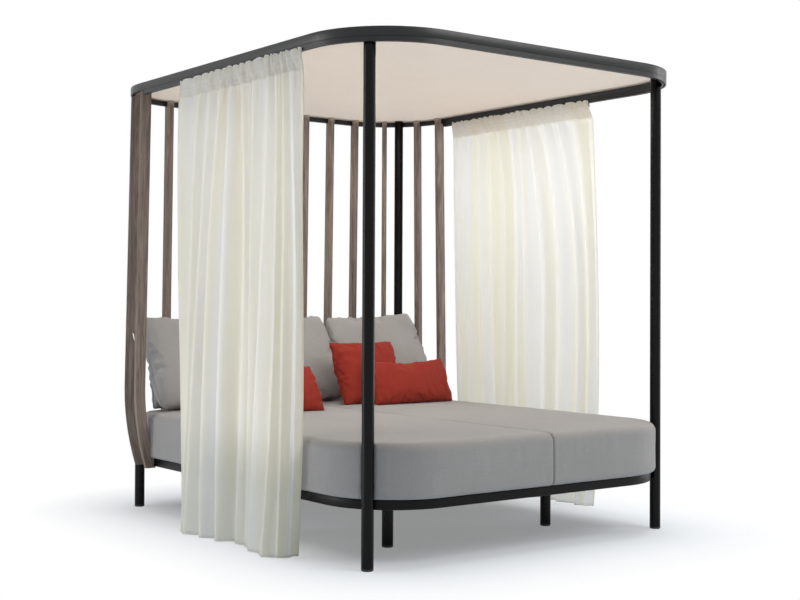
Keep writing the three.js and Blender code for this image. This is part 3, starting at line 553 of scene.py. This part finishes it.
def mattress_half(side):
    name = "left_mattress" if side < 0 else "right_mattress"
    verts, loops = [], []
    for inset, seam_inset, rise in mattress_levels():
        outer, foot, head = BASE_X + BULGE - inset, BASE_Y + BULGE - inset, BASE_Y + HEAD_BULGE - inset
        seam = SEAM_X * side + SEAM_GAP + seam_inset
        large, small = BASE_RADIUS + BULGE - inset, SEAM_CORNER
        loop = []
        for cx, cy, radius, start, steps in (
                (outer - large, -foot + large, large, -90, CORNER_STEPS),
                (outer - large, head - large, large, 0, CORNER_STEPS),
                (seam + small, head - small, small, 90, SEAM_STEPS),
                (seam + small, -foot + small, small, 180, SEAM_STEPS)):
            for step in range(steps + 1):
                angle = math.radians(start + 90 * step / steps)
                loop.append((cx + radius * math.cos(angle), cy + radius * math.sin(angle)))
        loops.append(range(len(verts), len(verts) + len(loop)))
        verts += [(side * x, y, BASE_TOP + rise) for x, y in loop]
    faces = []
    count = len(loops[0])
    for low, high in zip(loops, loops[1:]):
        for i in range(count):
            j = (i + 1) % count
            faces.append((low[i], low[j], high[j], high[i])[::side])
    faces += [loops[-1][::side], loops[0][::-side]]
    obj = mesh_object(name + "_cover", verts, faces, GREY)
    remesh = obj.modifiers.new("remesh", "REMESH")
    remesh.mode = "VOXEL"
    remesh.voxel_size = 0.007
    remesh.use_smooth_shade = True
    soften = obj.modifiers.new("soften", "SMOOTH")
    soften.iterations = 3
    apply_modifiers(obj)
    co = coordinates(obj.data)
    # soft hollows and slight upright pulls of the cover, strongest on the sides
    height = (co[:, 2] - BASE_TOP) / HEIGHT
    on_side = smoothstep(0.03, 0.3, height) * (1 - smoothstep(0.75, 1.0, height))
    normals = values_of(obj.data.vertices, "normal", 3)
    wave = smooth_noise(co, 5.5, 3 + side) * 0.0020 + smooth_noise(co * (1, 1, 0.25), 26, 5 + side) * 0.0010
    co += normals * (wave * (0.35 + 0.65 * on_side))[:, None]
    # the cover gives way round the posts that it lies against
    for px, py in POSTS:
        away = co[:, :2] - (px, py)
        far = np.hypot(away[:, 0], away[:, 1])
        push = np.clip(POST_CLEAR + POST_GIVE - far, 0, None) ** 2 / (4 * POST_GIVE)
        push = np.maximum(push, np.clip(POST_CLEAR - far, 0, None))
        co[:, :2] += -np.array((px, py)) / math.hypot(px, py) * push[:, None]
    # the head end's corners have gone rounder than the rest
    rear = smoothstep(0.80, 1.02, co[:, 1]) * smoothstep(0.45, 0.75, np.abs(co[:, 0]))
    height = (co[:, 2] - BASE_TOP) / HEIGHT
    give = 0.018 + 0.028 * smoothstep(0.55, 1.0, height) + 0.010 * (1 - smoothstep(0.0, 0.25, height))
    inward = co[:, :2] - np.array((side * REAR_X, REAR_Y))
    from_middle = np.linalg.norm(inward, axis=1)
    inward /= np.maximum(from_middle, 0.05)[:, None]
    co[:, 2] -= rear * 0.012 * smoothstep(0.6, 1.0, height)
    co[:, :2] -= inward * (rear * give * smoothstep(0.10, 0.30, from_middle))[:, None]
    co[:, 2] = np.maximum(co[:, 2], BASE_TOP + 0.0003)
    set_coordinates(obj.data, co)
    obj.data.materials.clear()
    obj.data.materials.append(GREY)
    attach(obj, "frame")
    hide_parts(name)


mattress_half(-1)
mattress_half(1)


# ---- pillows and cushions: two sewn panels blown up by a cloth simulation

# how far each panel lies from the middle of the sewn edge, and how deep a cushion has sunk in
PANEL_GAP, SUNK = 0.0012, 0.010
# how much wider the flat panels are than the cushion, the frames they take to fill, and the share
# of a panel's form that comes from its seams alone
DRAW, FILL_FRAMES, TAUT = 1.06, 20, 0.38


def flat_pillow(name, width, height, corner, start, step, seed):
    """Two panels sewn round their edge, a little apart, ready to be filled."""
    columns, rows = round(width / step), round(height / step)
    verts, faces = [], []
    shift = np.random.default_rng(seed).uniform(-20, 20, 3)
    for face in (1, -1):
        for j in range(rows + 1):
            for i in range(columns + 1):
                u, v = 2 * i / columns - 1, 2 * j / rows - 1
                x, y = into_corner(u * width / 2, v * height / 2, width / 2, height / 2, corner)
                fullness = ((1 - u * u) * (1 - v * v)) ** 0.5
                wobble = noise.noise(Vector((u * 4 + shift[0], v * 4 + shift[1], face * 3 + shift[2])))
                z = face * (PANEL_GAP + start / 2 * fullness) + 0.003 * wobble * fullness
                verts.append((x, y, z))
    back = (columns + 1) * (rows + 1)
    for quad in grid_faces(columns, rows):
        faces += [quad, tuple(back + q for q in reversed(quad))]
    rim = list(range(columns)) + [j * (columns + 1) + columns for j in range(rows)]
    rim += [rows * (columns + 1) + i for i in range(columns, 0, -1)]
    rim += [j * (columns + 1) for j in range(rows, 0, -1)]
    for k, a in enumerate(rim):
        b = rim[(k + 1) % len(rim)]
        faces.append((back + a, back + b, b, a))
    return mesh_object(name, verts, faces), rim, (2, rows + 1, columns + 1)


def blow_up(obj):
    cloth = obj.modifiers.new("filling", "CLOTH")
    settings = cloth.settings
    settings.quality = 5
    settings.mass = 0.25
    settings.tension_stiffness = settings.compression_stiffness = 22
    settings.shear_stiffness = 9
    settings.bending_stiffness = 1.2
    settings.tension_damping = settings.compression_damping = 12
    settings.air_damping = 2
    settings.effector_weights.gravity = 0
    settings.use_pressure = True
    settings.uniform_pressure_force = 5.0
    cloth.collision_settings.use_collision = False
    cloth.collision_settings.use_self_collision = False
    cloth.point_cache.frame_start = 1
    cloth.point_cache.frame_end = FILL_FRAMES
    for number in range(1, FILL_FRAMES + 1):
        scene.frame_set(number)
    apply_modifiers(obj)
    scene.frame_set(1)


def sewn_outline(grid, width, height, corner, bow, spread):
    """The panels' sewn edge pulled to its real outline, and the cloth between drawn along with it."""
    rows, columns = grid.shape[1] - 1, grid.shape[2] - 1
    s, t = np.meshgrid(np.linspace(0, 1, columns + 1), np.linspace(0, 1, rows + 1))
    u, v = 2 * s - 1, 2 * t - 1
    wanted = np.array([[into_corner(a * width / 2, b * height / 2, width / 2, height / 2, corner)
                        for a, b in zip(*line)] for line in zip(u, v)])
    wanted[..., 0] -= u * bow[0] * (1 - v * v)
    wanted[..., 1] -= v * np.where(v > 0, bow[1], bow[2]) * (1 - u * u)
    wanted[..., 0] *= 1 - spread * v
    for face in grid:
        off = wanted - face[..., :2]
        s3, t3 = s[..., None], t[..., None]
        blend = (1 - s3) * off[:, :1] + s3 * off[:, -1:] + (1 - t3) * off[:1] + t3 * off[-1:]
        blend -= ((1 - s3) * (1 - t3) * off[0, 0] + s3 * (1 - t3) * off[0, -1]
                  + (1 - s3) * t3 * off[-1, 0] + s3 * t3 * off[-1, -1])
        face[..., :2] += blend


def seam_creases(grid, width, height, creases, seed):
    """Puckers that run in from a sewn edge: each is (edge, depth in, height of the ridges, how many)."""
    rows, columns = grid.shape[1] - 1, grid.shape[2] - 1
    for edge, reach, ridge, count in creases:
        for side, face in zip((1, -1), grid):
            for j in range(rows + 1):
                for i in range(columns + 1):
                    s, t = i / columns, j / rows
                    into, along, span = {
                        "left": (s, t, width), "right": (1 - s, t, width),
                        "bottom": (t, s, height), "top": (1 - t, s, height)}[edge]
                    depth = into * span
                    wander = 0.4 * math.sin(depth * 30 + seed)
                    place = Vector((along * count + wander, seed * 1.7, side * 2 + depth * 6))
                    wave = 1 - 2.2 * abs(noise.noise(place))
                    fading = math.exp(-depth / reach) * min(1, depth / 0.008)
                    face[j, i, 2] += side * ridge * (wave - 0.55) * fading


def pillow(node, size, lean, turn, material, slot, seed, tilt=0, corner=0.006, bow=(0.007, 0.007, 0.007),
           spread=0.0, slump=0.08, taut=TAUT, creases=(), welt=None, move=(0, 0)):
    """A filled cushion that leans back; its edge draws in by bow at the sides, the top and the bottom."""
    width, height, thickness = size
    step = 0.0085
    obj, rim, shape = flat_pillow(
        node + "_soft", width * DRAW, height * DRAW, corner * DRAW, thickness * 0.6, step, seed)
    blow_up(obj)
    grid = coordinates(obj.data).reshape(*shape, 3)
    grid -= (grid.reshape(-1, 3).max(0) + grid.reshape(-1, 3).min(0)) / 2
    rows, columns = shape[1] - 1, shape[2] - 1
    u, v = np.meshgrid(np.linspace(-1, 1, columns + 1), np.linspace(-1, 1, rows + 1))
    full = np.clip((1 - u ** 4) * (1 - v ** 4), 0, 1) ** 0.5
    sewn_outline(grid, width, height, corner, bow, spread)
    for side, face in zip((1, -1), grid):
        rise = np.abs(face[..., 2])
        rise = rise / rise.max()
        # the filling holds the panels apart almost to their seams, and has sunk a little
        rise = ((1 - taut) * rise ** (0.85 + 0.5 * (TAUT - taut)) + taut * full ** 0.9) * (1 - slump * v)
        face[..., 2] = side * (PANEL_GAP + rise / rise.max() * (thickness / 2 - PANEL_GAP))
    sewn = np.array((1, -1))[:, None] * PANEL_GAP
    grid[:, 0, :, 2] = grid[:, -1, :, 2] = sewn
    grid[:, :, 0, 2] = grid[:, :, -1, 2] = sewn
    seam_creases(grid, width, height, creases, seed)
    co = grid.reshape(-1, 3)
    turned = (Matrix.Rotation(math.radians(turn), 4, "Z") @ Matrix.Rotation(math.radians(90 - lean), 4, "X")
              @ Matrix.Rotation(math.radians(tilt), 4, "Z"))
    world = (np.array(turned.to_3x3()) @ co.T).T
    low, high = (np.array(c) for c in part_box(node))
    shift = (low + high) / 2 - (world.max(0) + world.min(0)) / 2 + (*move, 0)
    surface = np.array([mattress_surface(x, y) for x, y in (world + shift)[:, :2]])
    shift[2] += (surface + 0.0005 - (world + shift)[:, 2]).max() - SUNK
    world = world + shift
    # it lies flat on the mattress where it touches
    world[:, 2] = np.maximum(world[:, 2], surface + 0.0006)
    turned.translation = Vector(shift)
    local = (np.array(turned.inverted()) @ np.c_[world, np.ones(len(world))].T).T[:, :3]
    set_coordinates(obj.data, local)
    obj.matrix_world = turned
    obj.data.materials.append(material)
    obj.data.shade_smooth()
    divide = obj.modifiers.new("fine", "SUBSURF")
    divide.levels = divide.render_levels = 1
    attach(obj, "frame")
    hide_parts(node)
    if welt:
        back = shape[1] * shape[2]
        line = [Vector((local[a] + local[back + a]) / 2) for a in rim]
        piping = tube(node + "_welt", line, welt, WELT, cyclic=True)
        piping.matrix_world = turned
        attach(piping, "frame")


BACK = (0.556, 0.490, 0.165)
LUMBAR = (0.535, 0.252, 0.110)
GREY_EDGE = dict(material=GREY, slot="grey_cloth", corner=0.024, welt=0.0030)
FULL_SIDES = dict(bow=(-0.018, 0.015, -0.004), spread=0.04, slump=0.30)
RED_EDGE = dict(material=RED, slot="red_cloth", taut=0.12)
SOFT_SEAMS = [(edge, 0.035, 0.0012, 16) for edge in ("left", "right", "bottom", "top")]
pillow("left_back_cushion", BACK, 24, 8, seed=11, tilt=0.5, creases=SOFT_SEAMS, **GREY_EDGE, **FULL_SIDES)
pillow("middle_back_cushion", BACK, 24, 0, seed=12, creases=SOFT_SEAMS, **GREY_EDGE, **FULL_SIDES)
pillow("right_back_cushion", BACK, 24, -8, seed=13, tilt=3, creases=SOFT_SEAMS, **GREY_EDGE, **FULL_SIDES)
pillow("small_cushion", (0.420, 0.200, 0.110), 6, 4, seed=14, creases=SOFT_SEAMS, **GREY_EDGE)
pillow("square_pillow", (0.425, 0.362, 0.120), 24, 2, seed=15, slump=0.14,
       creases=[("left", 0.10, 0.0100, 10), ("right", 0.06, 0.0050, 13),
                ("bottom", 0.07, 0.0050, 14), ("top", 0.06, 0.0045, 14)], **RED_EDGE)
pillow("right_lumbar_pillow", LUMBAR, 23, 2, seed=16, bow=(0.006, 0.026, 0.004),
       creases=[("left", 0.08, 0.0060, 9), ("right", 0.08, 0.0060, 9),
                ("bottom", 0.07, 0.0090, 18), ("top", 0.05, 0.0040, 16)], **RED_EDGE)
pillow("left_lumbar_pillow", LUMBAR, 29, -4, seed=17, spread=0.04, move=(-0.020, 0),
       creases=[("left", 0.08, 0.0060, 9), ("right", 0.08, 0.0065, 9),
                ("bottom", 0.06, 0.0045, 16), ("top", 0.05, 0.0040, 16)], **RED_EDGE)


# ---- curtains: each one sheet of sheer cloth, gathered on its heading tape and falling in folds

DROPS = (0.05, 0.35, 0.65, 1.0)


def down_the_cloth(values, drop, places=DROPS):
    """A smooth run through the values that are given at some places down the cloth."""
    result = 0
    for place, row in zip(places, values):
        weight = math.prod((drop - other) / (place - other) for other in places if other != place)
        result = result + weight * np.asarray(row)
    return result


# Each curtain's folds from its end at the head to its end at the foot: how far along the bed the crests
# stand at four drops, how far out they stand at the top and the hem, and how deep the cloth goes in
# behind each of them at the top, halfway down and at the hem.
CURTAINS = {
    "left": dict(
        side=-1, seed=2,
        along=[[0.318, 0.139, 0.028, -0.061, -0.143, -0.249, -0.344, -0.465, -0.520, -0.580, -0.632, -0.712],
               [0.307, 0.172, 0.079, 0.012, -0.112, -0.280, -0.331, -0.443, -0.542, -0.590, -0.668, -0.691],
               [0.268, 0.172, 0.105, 0.034, -0.095, -0.262, -0.325, -0.413, -0.556, -0.602, -0.662, -0.672],
               [0.215, 0.178, 0.125, 0.009, -0.113, -0.216, -0.305, -0.388, -0.528, -0.600, -0.612, -0.606]],
        top_out=[0.972, 0.974, 0.974, 0.974, 0.974, 0.974, 0.974, 0.974, 0.970, 0.970, 0.968, 0.955],
        hem_out=[1.000, 1.030, 1.045, 1.026, 1.013, 0.972, 0.976, 1.011, 1.031, 1.000, 0.945, 0.896],
        deep=[[0.026, 0.027, 0.026, 0.026, 0.028, 0.027, 0.028, 0.018, 0.022, 0.018, 0.022],
              [0.020, 0.022, 0.032, 0.040, 0.050, 0.024, 0.034, 0.034, 0.022, 0.020, 0.008],
              [0.012, 0.014, 0.045, 0.048, 0.052, 0.016, 0.012, 0.018, 0.016, 0.006, 0.004]]),
    "right": dict(
        side=1, seed=5,
        along=[[0.627, 0.580, 0.513, 0.413, 0.320, 0.228, 0.138, 0.066, 0.003, -0.113, -0.219, -0.351, -0.452],
               [0.623, 0.584, 0.528, 0.413, 0.320, 0.197, 0.098, 0.044, -0.100, -0.211, -0.340, -0.420, -0.462],
               [0.620, 0.586, 0.532, 0.391, 0.305, 0.214, 0.112, 0.050, -0.098, -0.203, -0.338, -0.410, -0.452],
               [0.600, 0.560, 0.500, 0.370, 0.280, 0.190, 0.100, 0.040, -0.080, -0.153, -0.300, -0.345, -0.385]],
        top_out=[0.944, 0.944, 0.944, 0.944, 0.945, 0.944, 0.945, 0.944, 0.944, 0.945, 0.944, 0.946, 0.972],
        hem_out=[0.985, 0.990, 0.992, 0.990, 0.995, 0.990, 0.995, 0.990, 0.998, 1.005, 1.000, 1.020, 1.050],
        deep=[[0.016, 0.022, 0.027, 0.027, 0.027, 0.027, 0.024, 0.020, 0.028, 0.028, 0.028, 0.020],
              [0.012, 0.022, 0.036, 0.030, 0.036, 0.032, 0.020, 0.042, 0.038, 0.036, 0.026, 0.012],
              [0.010, 0.020, 0.040, 0.034, 0.036, 0.036, 0.022, 0.042, 0.034, 0.040, 0.018, 0.010]]),
}


def smooth_line(values, passes):
    for _ in range(passes):
        inner = (values[:-2] + 2 * values[1:-1] + values[2:]) / 4
        values = np.concatenate((values[:1], inner, values[-1:]))
    return values


# the cloth's top and hem, and how deep the gathered heading is
CLOTH_TOP, CLOTH_HEM, HEADING_DEPTH = 2.0660, 0.0040, 0.070
FALL = CLOTH_TOP - CLOTH_HEM
HEADING_ROWS, BODY_ROWS = 15, 78
# how far out the heading is held before each track, and how deep its ruffles are
FACE = {"left": 0.9662, "right": 0.9396}
RUFFLE_OUT, RUFFLE_UP, HEADING_UP = 0.0110, 0.0110, 0.0105
# the cloth hangs clear of the mattress and, lower down, of the base ring
CLEAR_TOP, CLEAR_RING, CLEAR_FLOOR = 0.56, 0.235, 0.10
MATTRESS_CLEAR, RING_CLEAR = 0.9110, 0.8900
HEM_FROM = 0.98


def fold_line(crest_x, crest_y, depth, seed, half):
    """One height of a curtain seen from above, through a crest at each whole number of folds."""
    xs, ys = [], []
    t = np.arange(half) / half
    ease = 0.62 * (1 - np.cos(np.pi * t)) / 2 + 0.38 * t
    for i in range(len(crest_x) - 1):
        # the cloth's deepest place lies nearer to the next crest
        lean = 0.60 + 0.08 * math.sin(i * 2.4 + seed)
        valley_x = crest_x[i] + (crest_x[i + 1] - crest_x[i]) * lean - depth[i]
        valley_y = crest_y[i] + (crest_y[i + 1] - crest_y[i]) * lean
        for (ax, ay), (bx, by) in (((crest_x[i], crest_y[i]), (valley_x, valley_y)),
                                   ((valley_x, valley_y), (crest_x[i + 1], crest_y[i + 1]))):
            xs.append(ax + (bx - ax) * ease)
            ys.append(ay + (by - ay) * t)
    passes = 5
    return (smooth_line(np.append(np.concatenate(xs), crest_x[-1]), passes),
            smooth_line(np.append(np.concatenate(ys), crest_y[-1]), passes))


def cloth_point(name, side, seed, drop, k, x):
    """How far out and how high the cloth lies k folds along, and, for the material, its painted crest highlight
    and its painted warm glow.
    """
    def at(*place):
        return noise.noise(Vector(place))

    below = drop * FALL / HEADING_DEPTH
    gathered = 1 - smoothstep(0.8, 3.0, below)
    # the tape holds the heading in a nearly straight, gathered band before the track's face
    band = 1 - smoothstep(0.25, 1.25, below)
    # small creases that wander down the cloth, and tight gathers under the heading
    wander = at(k * 2.3 + seed, drop * 2.6, seed * 3.1) * 0.0050
    wander += at(k * 6.1 + seed, drop * 4.0, seed * 1.3) * 0.0022
    gather = at(k * 13 + seed, drop * 9.0, seed) * 0.0050 * gathered
    out = x + wander * min(1, drop * 14) + gather
    shifted = k * 1.8 + 0.9 * at(k * 0.9 + 3 * seed, 0.3, seed * 2.2)
    ruffle = abs(math.sin(math.pi * shifted)) ** 0.55 * (0.75 + 0.5 * at(k * 1.1, seed, 7.7))
    fine = at(k * 9.0 + seed, drop * 12, seed * 0.7)
    held = FACE[name] - side * (RUFFLE_OUT * ruffle + 0.0016 * fine)
    out += (held - out) * band
    z = CLOTH_TOP - drop * FALL
    z += (HEADING_UP + RUFFLE_UP * ruffle + 0.0010 * fine) * (1 - smoothstep(0.3, 1.1, below))
    if CLEAR_RING < z < CLEAR_TOP:
        out = max(out, MATTRESS_CLEAR)
    elif z <= CLEAR_RING:
        share = smoothstep(CLEAR_FLOOR, CLEAR_RING, z)
        out = max(out, RING_CLEAR + (MATTRESS_CLEAR - RING_CLEAR) * share)
    if drop > HEM_FROM:
        # an uneven hem
        z += abs(at(k * 1.7, seed, 2.0)) * 0.006 * smoothstep(HEM_FROM, 1.0, drop)
    # how near a crest the cloth lies, for a painted highlight there
    crest = (1 - min(abs(k - round(k)) / 0.13, 1)) * (1 - band)
    # a painted warm glow of light through doubled cloth, changing at random along the folds
    tone = 0.5 + 1.5 * at(k * 2.3 + 5 * seed, drop * 0.9, seed * 1.9)
    return out, max(z, 0.003), (crest, min(max(tone, 0), 1), 0)


def make_curtain(name, side, seed, along, top_out, hem_out, deep):
    folds = len(along[0]) - 1
    half = 16
    columns = folds * 2 * half
    rows = np.concatenate([np.linspace(0, HEADING_DEPTH, HEADING_ROWS),
                           np.linspace(HEADING_DEPTH, FALL, BODY_ROWS)[1:]]) / FALL
    k = np.linspace(0, folds, columns + 1)
    top_out, hem_out = np.asarray(top_out), np.asarray(hem_out)
    verts, marks = [], []
    for drop in rows:
        crest_x = top_out + (hem_out - top_out) * drop ** 1.3
        depth = down_the_cloth(deep, drop, (0.0, 0.5, 1.0)) * -side
        x, y = fold_line(crest_x, down_the_cloth(along, drop), depth, seed, half)
        for i in range(columns + 1):
            out, z, mark = cloth_point(name, side, seed, drop, k[i], x[i])
            verts.append((side * out, y[i], z))
            marks.append(mark)
    faces = [face[::side] for face in grid_faces(columns, len(rows) - 1)]
    obj = mesh_object(name + "_curtain_cloth", verts, faces, SHEER)
    # the painted crest highlight and warm glow, for the curtain's material
    fold = obj.data.attributes.new("fold", "FLOAT_VECTOR", "POINT")
    fold.data.foreach_set("vector", np.array(marks, np.float32).ravel())
    obj.data.materials.append(HEADING)
    for polygon in obj.data.polygons[:(HEADING_ROWS - 1) * columns]:
        polygon.material_index = 1
    solid = obj.modifiers.new("thickness", "SOLIDIFY")
    solid.thickness = 0.0009
    solid.offset = 0
    apply_modifiers(obj)
    grid = np.array(verts).reshape(len(rows), columns + 1, 3)
    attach(obj, name + "_curtain_body")
    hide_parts(name + "_curtain")
    # side hems and the bottom hem: a second layer stitched down
    for part, line, radius in (("edge_1", grid[1:, 0], 0.0016), ("edge_2", grid[1:, -1], 0.0016),
                               ("hem", grid[-1] + (0, 0, 0.0012), 0.0015)):
        hem = tube(f"{name}_curtain_{part}", line, radius, HEADING)
        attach(hem, name + "_curtain_body")


# how far a glider's head lies in from the track's outer side and above its underside
TRACK_HALF, GLIDER_RISE = 0.010, 0.0025
# its head (high, wide, long), its stem (high, wide, long) and the radius of its eye
GLIDER_HEAD, GLIDER_STEM, GLIDER_EYE = (0.0048, 0.013, 0.009), (0.020, 0.003, 0.004), 0.0038
SAME_GLIDER = 0.02


def make_gliders(name, side):
    """A glider up in the track at each fold, its eye in the heading."""
    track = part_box(name + "_curtain_track")
    co = coordinates(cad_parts[name + "_heading_tape"].data)
    heads = co[co[:, 2] > co[:, 2].max() - 0.001]
    places = []
    for y in heads[:, 1]:
        if not any(abs(y - known) < SAME_GLIDER for known in places):
            places.append(y)
    parts = bmesh.new()
    line_x = side * ((track[1].x if side > 0 else -track[0].x) - TRACK_HALF)
    low = float(track[0].z) + GLIDER_RISE
    (head_high, *head), (stem_high, *stem) = GLIDER_HEAD, GLIDER_STEM
    for place in places:
        group = heads[np.abs(heads[:, 1] - place) < SAME_GLIDER]
        y = float((group[:, 1].min() + group[:, 1].max()) / 2)
        for z_low, z_high, (wide, long) in (
                (low, low + head_high, head), (low - stem_high, low + 0.001, stem)):
            for vert in bmesh.ops.create_cube(parts, size=1)["verts"]:
                vert.co = Vector((line_x + vert.co.x * wide, y + vert.co.y * long,
                                  (z_low + z_high) / 2 + vert.co.z * (z_high - z_low)))
        bmesh.ops.create_uvsphere(parts, u_segments=8, v_segments=6, radius=GLIDER_EYE,
                                  matrix=Matrix.Translation((line_x, y, low - 0.019)))
    mesh = bpy.data.meshes.new(name + "_gliders")
    parts.to_mesh(mesh)
    parts.free()
    mesh.materials.append(PLASTIC)
    obj = new_object(name + "_gliders", mesh)
    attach(obj, name + "_curtain_body")
    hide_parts(name + "_heading_tape")


for curtain, facts in CURTAINS.items():
    make_curtain(curtain, **facts)
    make_gliders(curtain, facts["side"])


# ---- floor, light and camera

# the shadow shows round this much of the bed's footprint, and fades into white beyond it
SHADOW_X, SHADOW_Y, SHADOW_NEAR, SHADOW_FAR, LEAST_WHITE = 0.55, 0.80, 0.12, 0.90, 0.26
FLOOR = [(-14, -12, 0), (14, -12, 0), (14, 26, 0), (-14, 26, 0)]
WHITE, FILL = (1, 1, 1, 1), 0.10


def make_floor():
    s = Shader("pale_floor")
    shade = s.mix(s.range(s.noise(0.6, 2), 0.3, 0.7), (0.74, 0.83, 0.92), (0.76, 0.85, 0.94))
    matt = s.node("ShaderNodeBsdfDiffuse", {"Color": shade}).outputs[0]
    white = s.node("ShaderNodeEmission", {"Color": WHITE, "Strength": 1.0}).outputs[0]
    # how far a place lies outside the bed's footprint
    x, y, _ = s.node("ShaderNodeSeparateXYZ", {0: s.coordinates}).outputs
    beyond = [s.math("MAXIMUM", s.math("SUBTRACT", s.math("ABSOLUTE", place), edge), 0.0)
              for place, edge in ((x, SHADOW_X), (y, SHADOW_Y))]
    place = s.node("ShaderNodeCombineXYZ", dict(enumerate(beyond))).outputs[0]
    far = s.node("ShaderNodeVectorMath", {0: place}, operation="LENGTH").outputs["Value"]
    fade = s.range(far, SHADOW_NEAR, SHADOW_FAR, LEAST_WHITE, 1.0)
    share = s.math("MULTIPLY", seen_rays(s.tree), fade)
    blend = s.node("ShaderNodeMixShader", {0: share, 1: matt, 2: white}).outputs[0]
    floor = mesh_object("floor", FLOOR, [(0, 1, 2, 3)], s.finish(blend))


def make_world():
    """White where it is seen, and a weak even light on everything else."""
    world = bpy.data.worlds.new("studio")
    scene.world = world
    world.use_nodes = True
    tree = world.node_tree
    tree.nodes.clear()
    soft = add_node(tree, "ShaderNodeBackground", {"Color": WHITE, "Strength": FILL}).outputs[0]
    white = add_node(tree, "ShaderNodeBackground", {"Color": WHITE, "Strength": 1.0}).outputs[0]
    mix = add_node(tree, "ShaderNodeMixShader", {0: seen_rays(tree), 1: soft, 2: white}).outputs[0]
    add_node(tree, "ShaderNodeOutputWorld", {"Surface": mix})


def area_light(name, place, target, size, power, colour=(1, 1, 1)):
    data = bpy.data.lights.new(name, "AREA")
    data.shape = "RECTANGLE"
    data.size, data.size_y = size
    data.energy = power
    data.color = colour
    obj = new_object(name, data)
    obj.location = place
    obj.rotation_euler = (Vector(target) - Vector(place)).to_track_quat("-Z", "Y").to_euler()
    obj.visible_camera = False


def make_camera():
    """The camera of the photograph, solved from the rings, the posts and the legs."""
    data = bpy.data.cameras.new("camera")
    data.lens, data.sensor_width = 58.82, 36
    data.shift_x, data.shift_y = 0.0099, -0.0185
    camera = new_object("camera", data)
    camera.location = (-3.8429, -5.1471, 1.0535)
    facing = (Matrix.Rotation(math.radians(-36.995), 3, "Z") @ Matrix.Rotation(math.radians(90.728), 3, "X")
              @ Matrix.Rotation(math.radians(0.252), 3, "Z"))
    camera.rotation_euler = facing.to_euler()
    scene.camera = camera


make_floor()
make_world()
area_light("key_light", (2.6, -5.6, 5.0), (0, -0.2, 0.5), size=(4, 3), power=185, colour=(1.0, 0.985, 0.955))
area_light("left_light", (-6.0, 3.2, 1.9), (0, 0, 0.9), size=(0.8, 3.2), power=95)
area_light("right_light", (5.0, -1.6, 1.7), (0, -0.4, 1.1), size=(0.8, 3.2), power=34)
area_light("curtain_light", (-2.1, -0.17, 0.30), (-1.0, -0.17, 0.42), size=(1.2, 0.5), power=2.5)
area_light("top_light", (0.3, 0.2, 6.5), (0, 0, 0.5), size=(5, 5), power=385)
area_light("canopy_light", (0.0, -0.1, 2.06), (0, -0.1, 0.0), size=(1.3, 1.9), power=13)
make_camera()
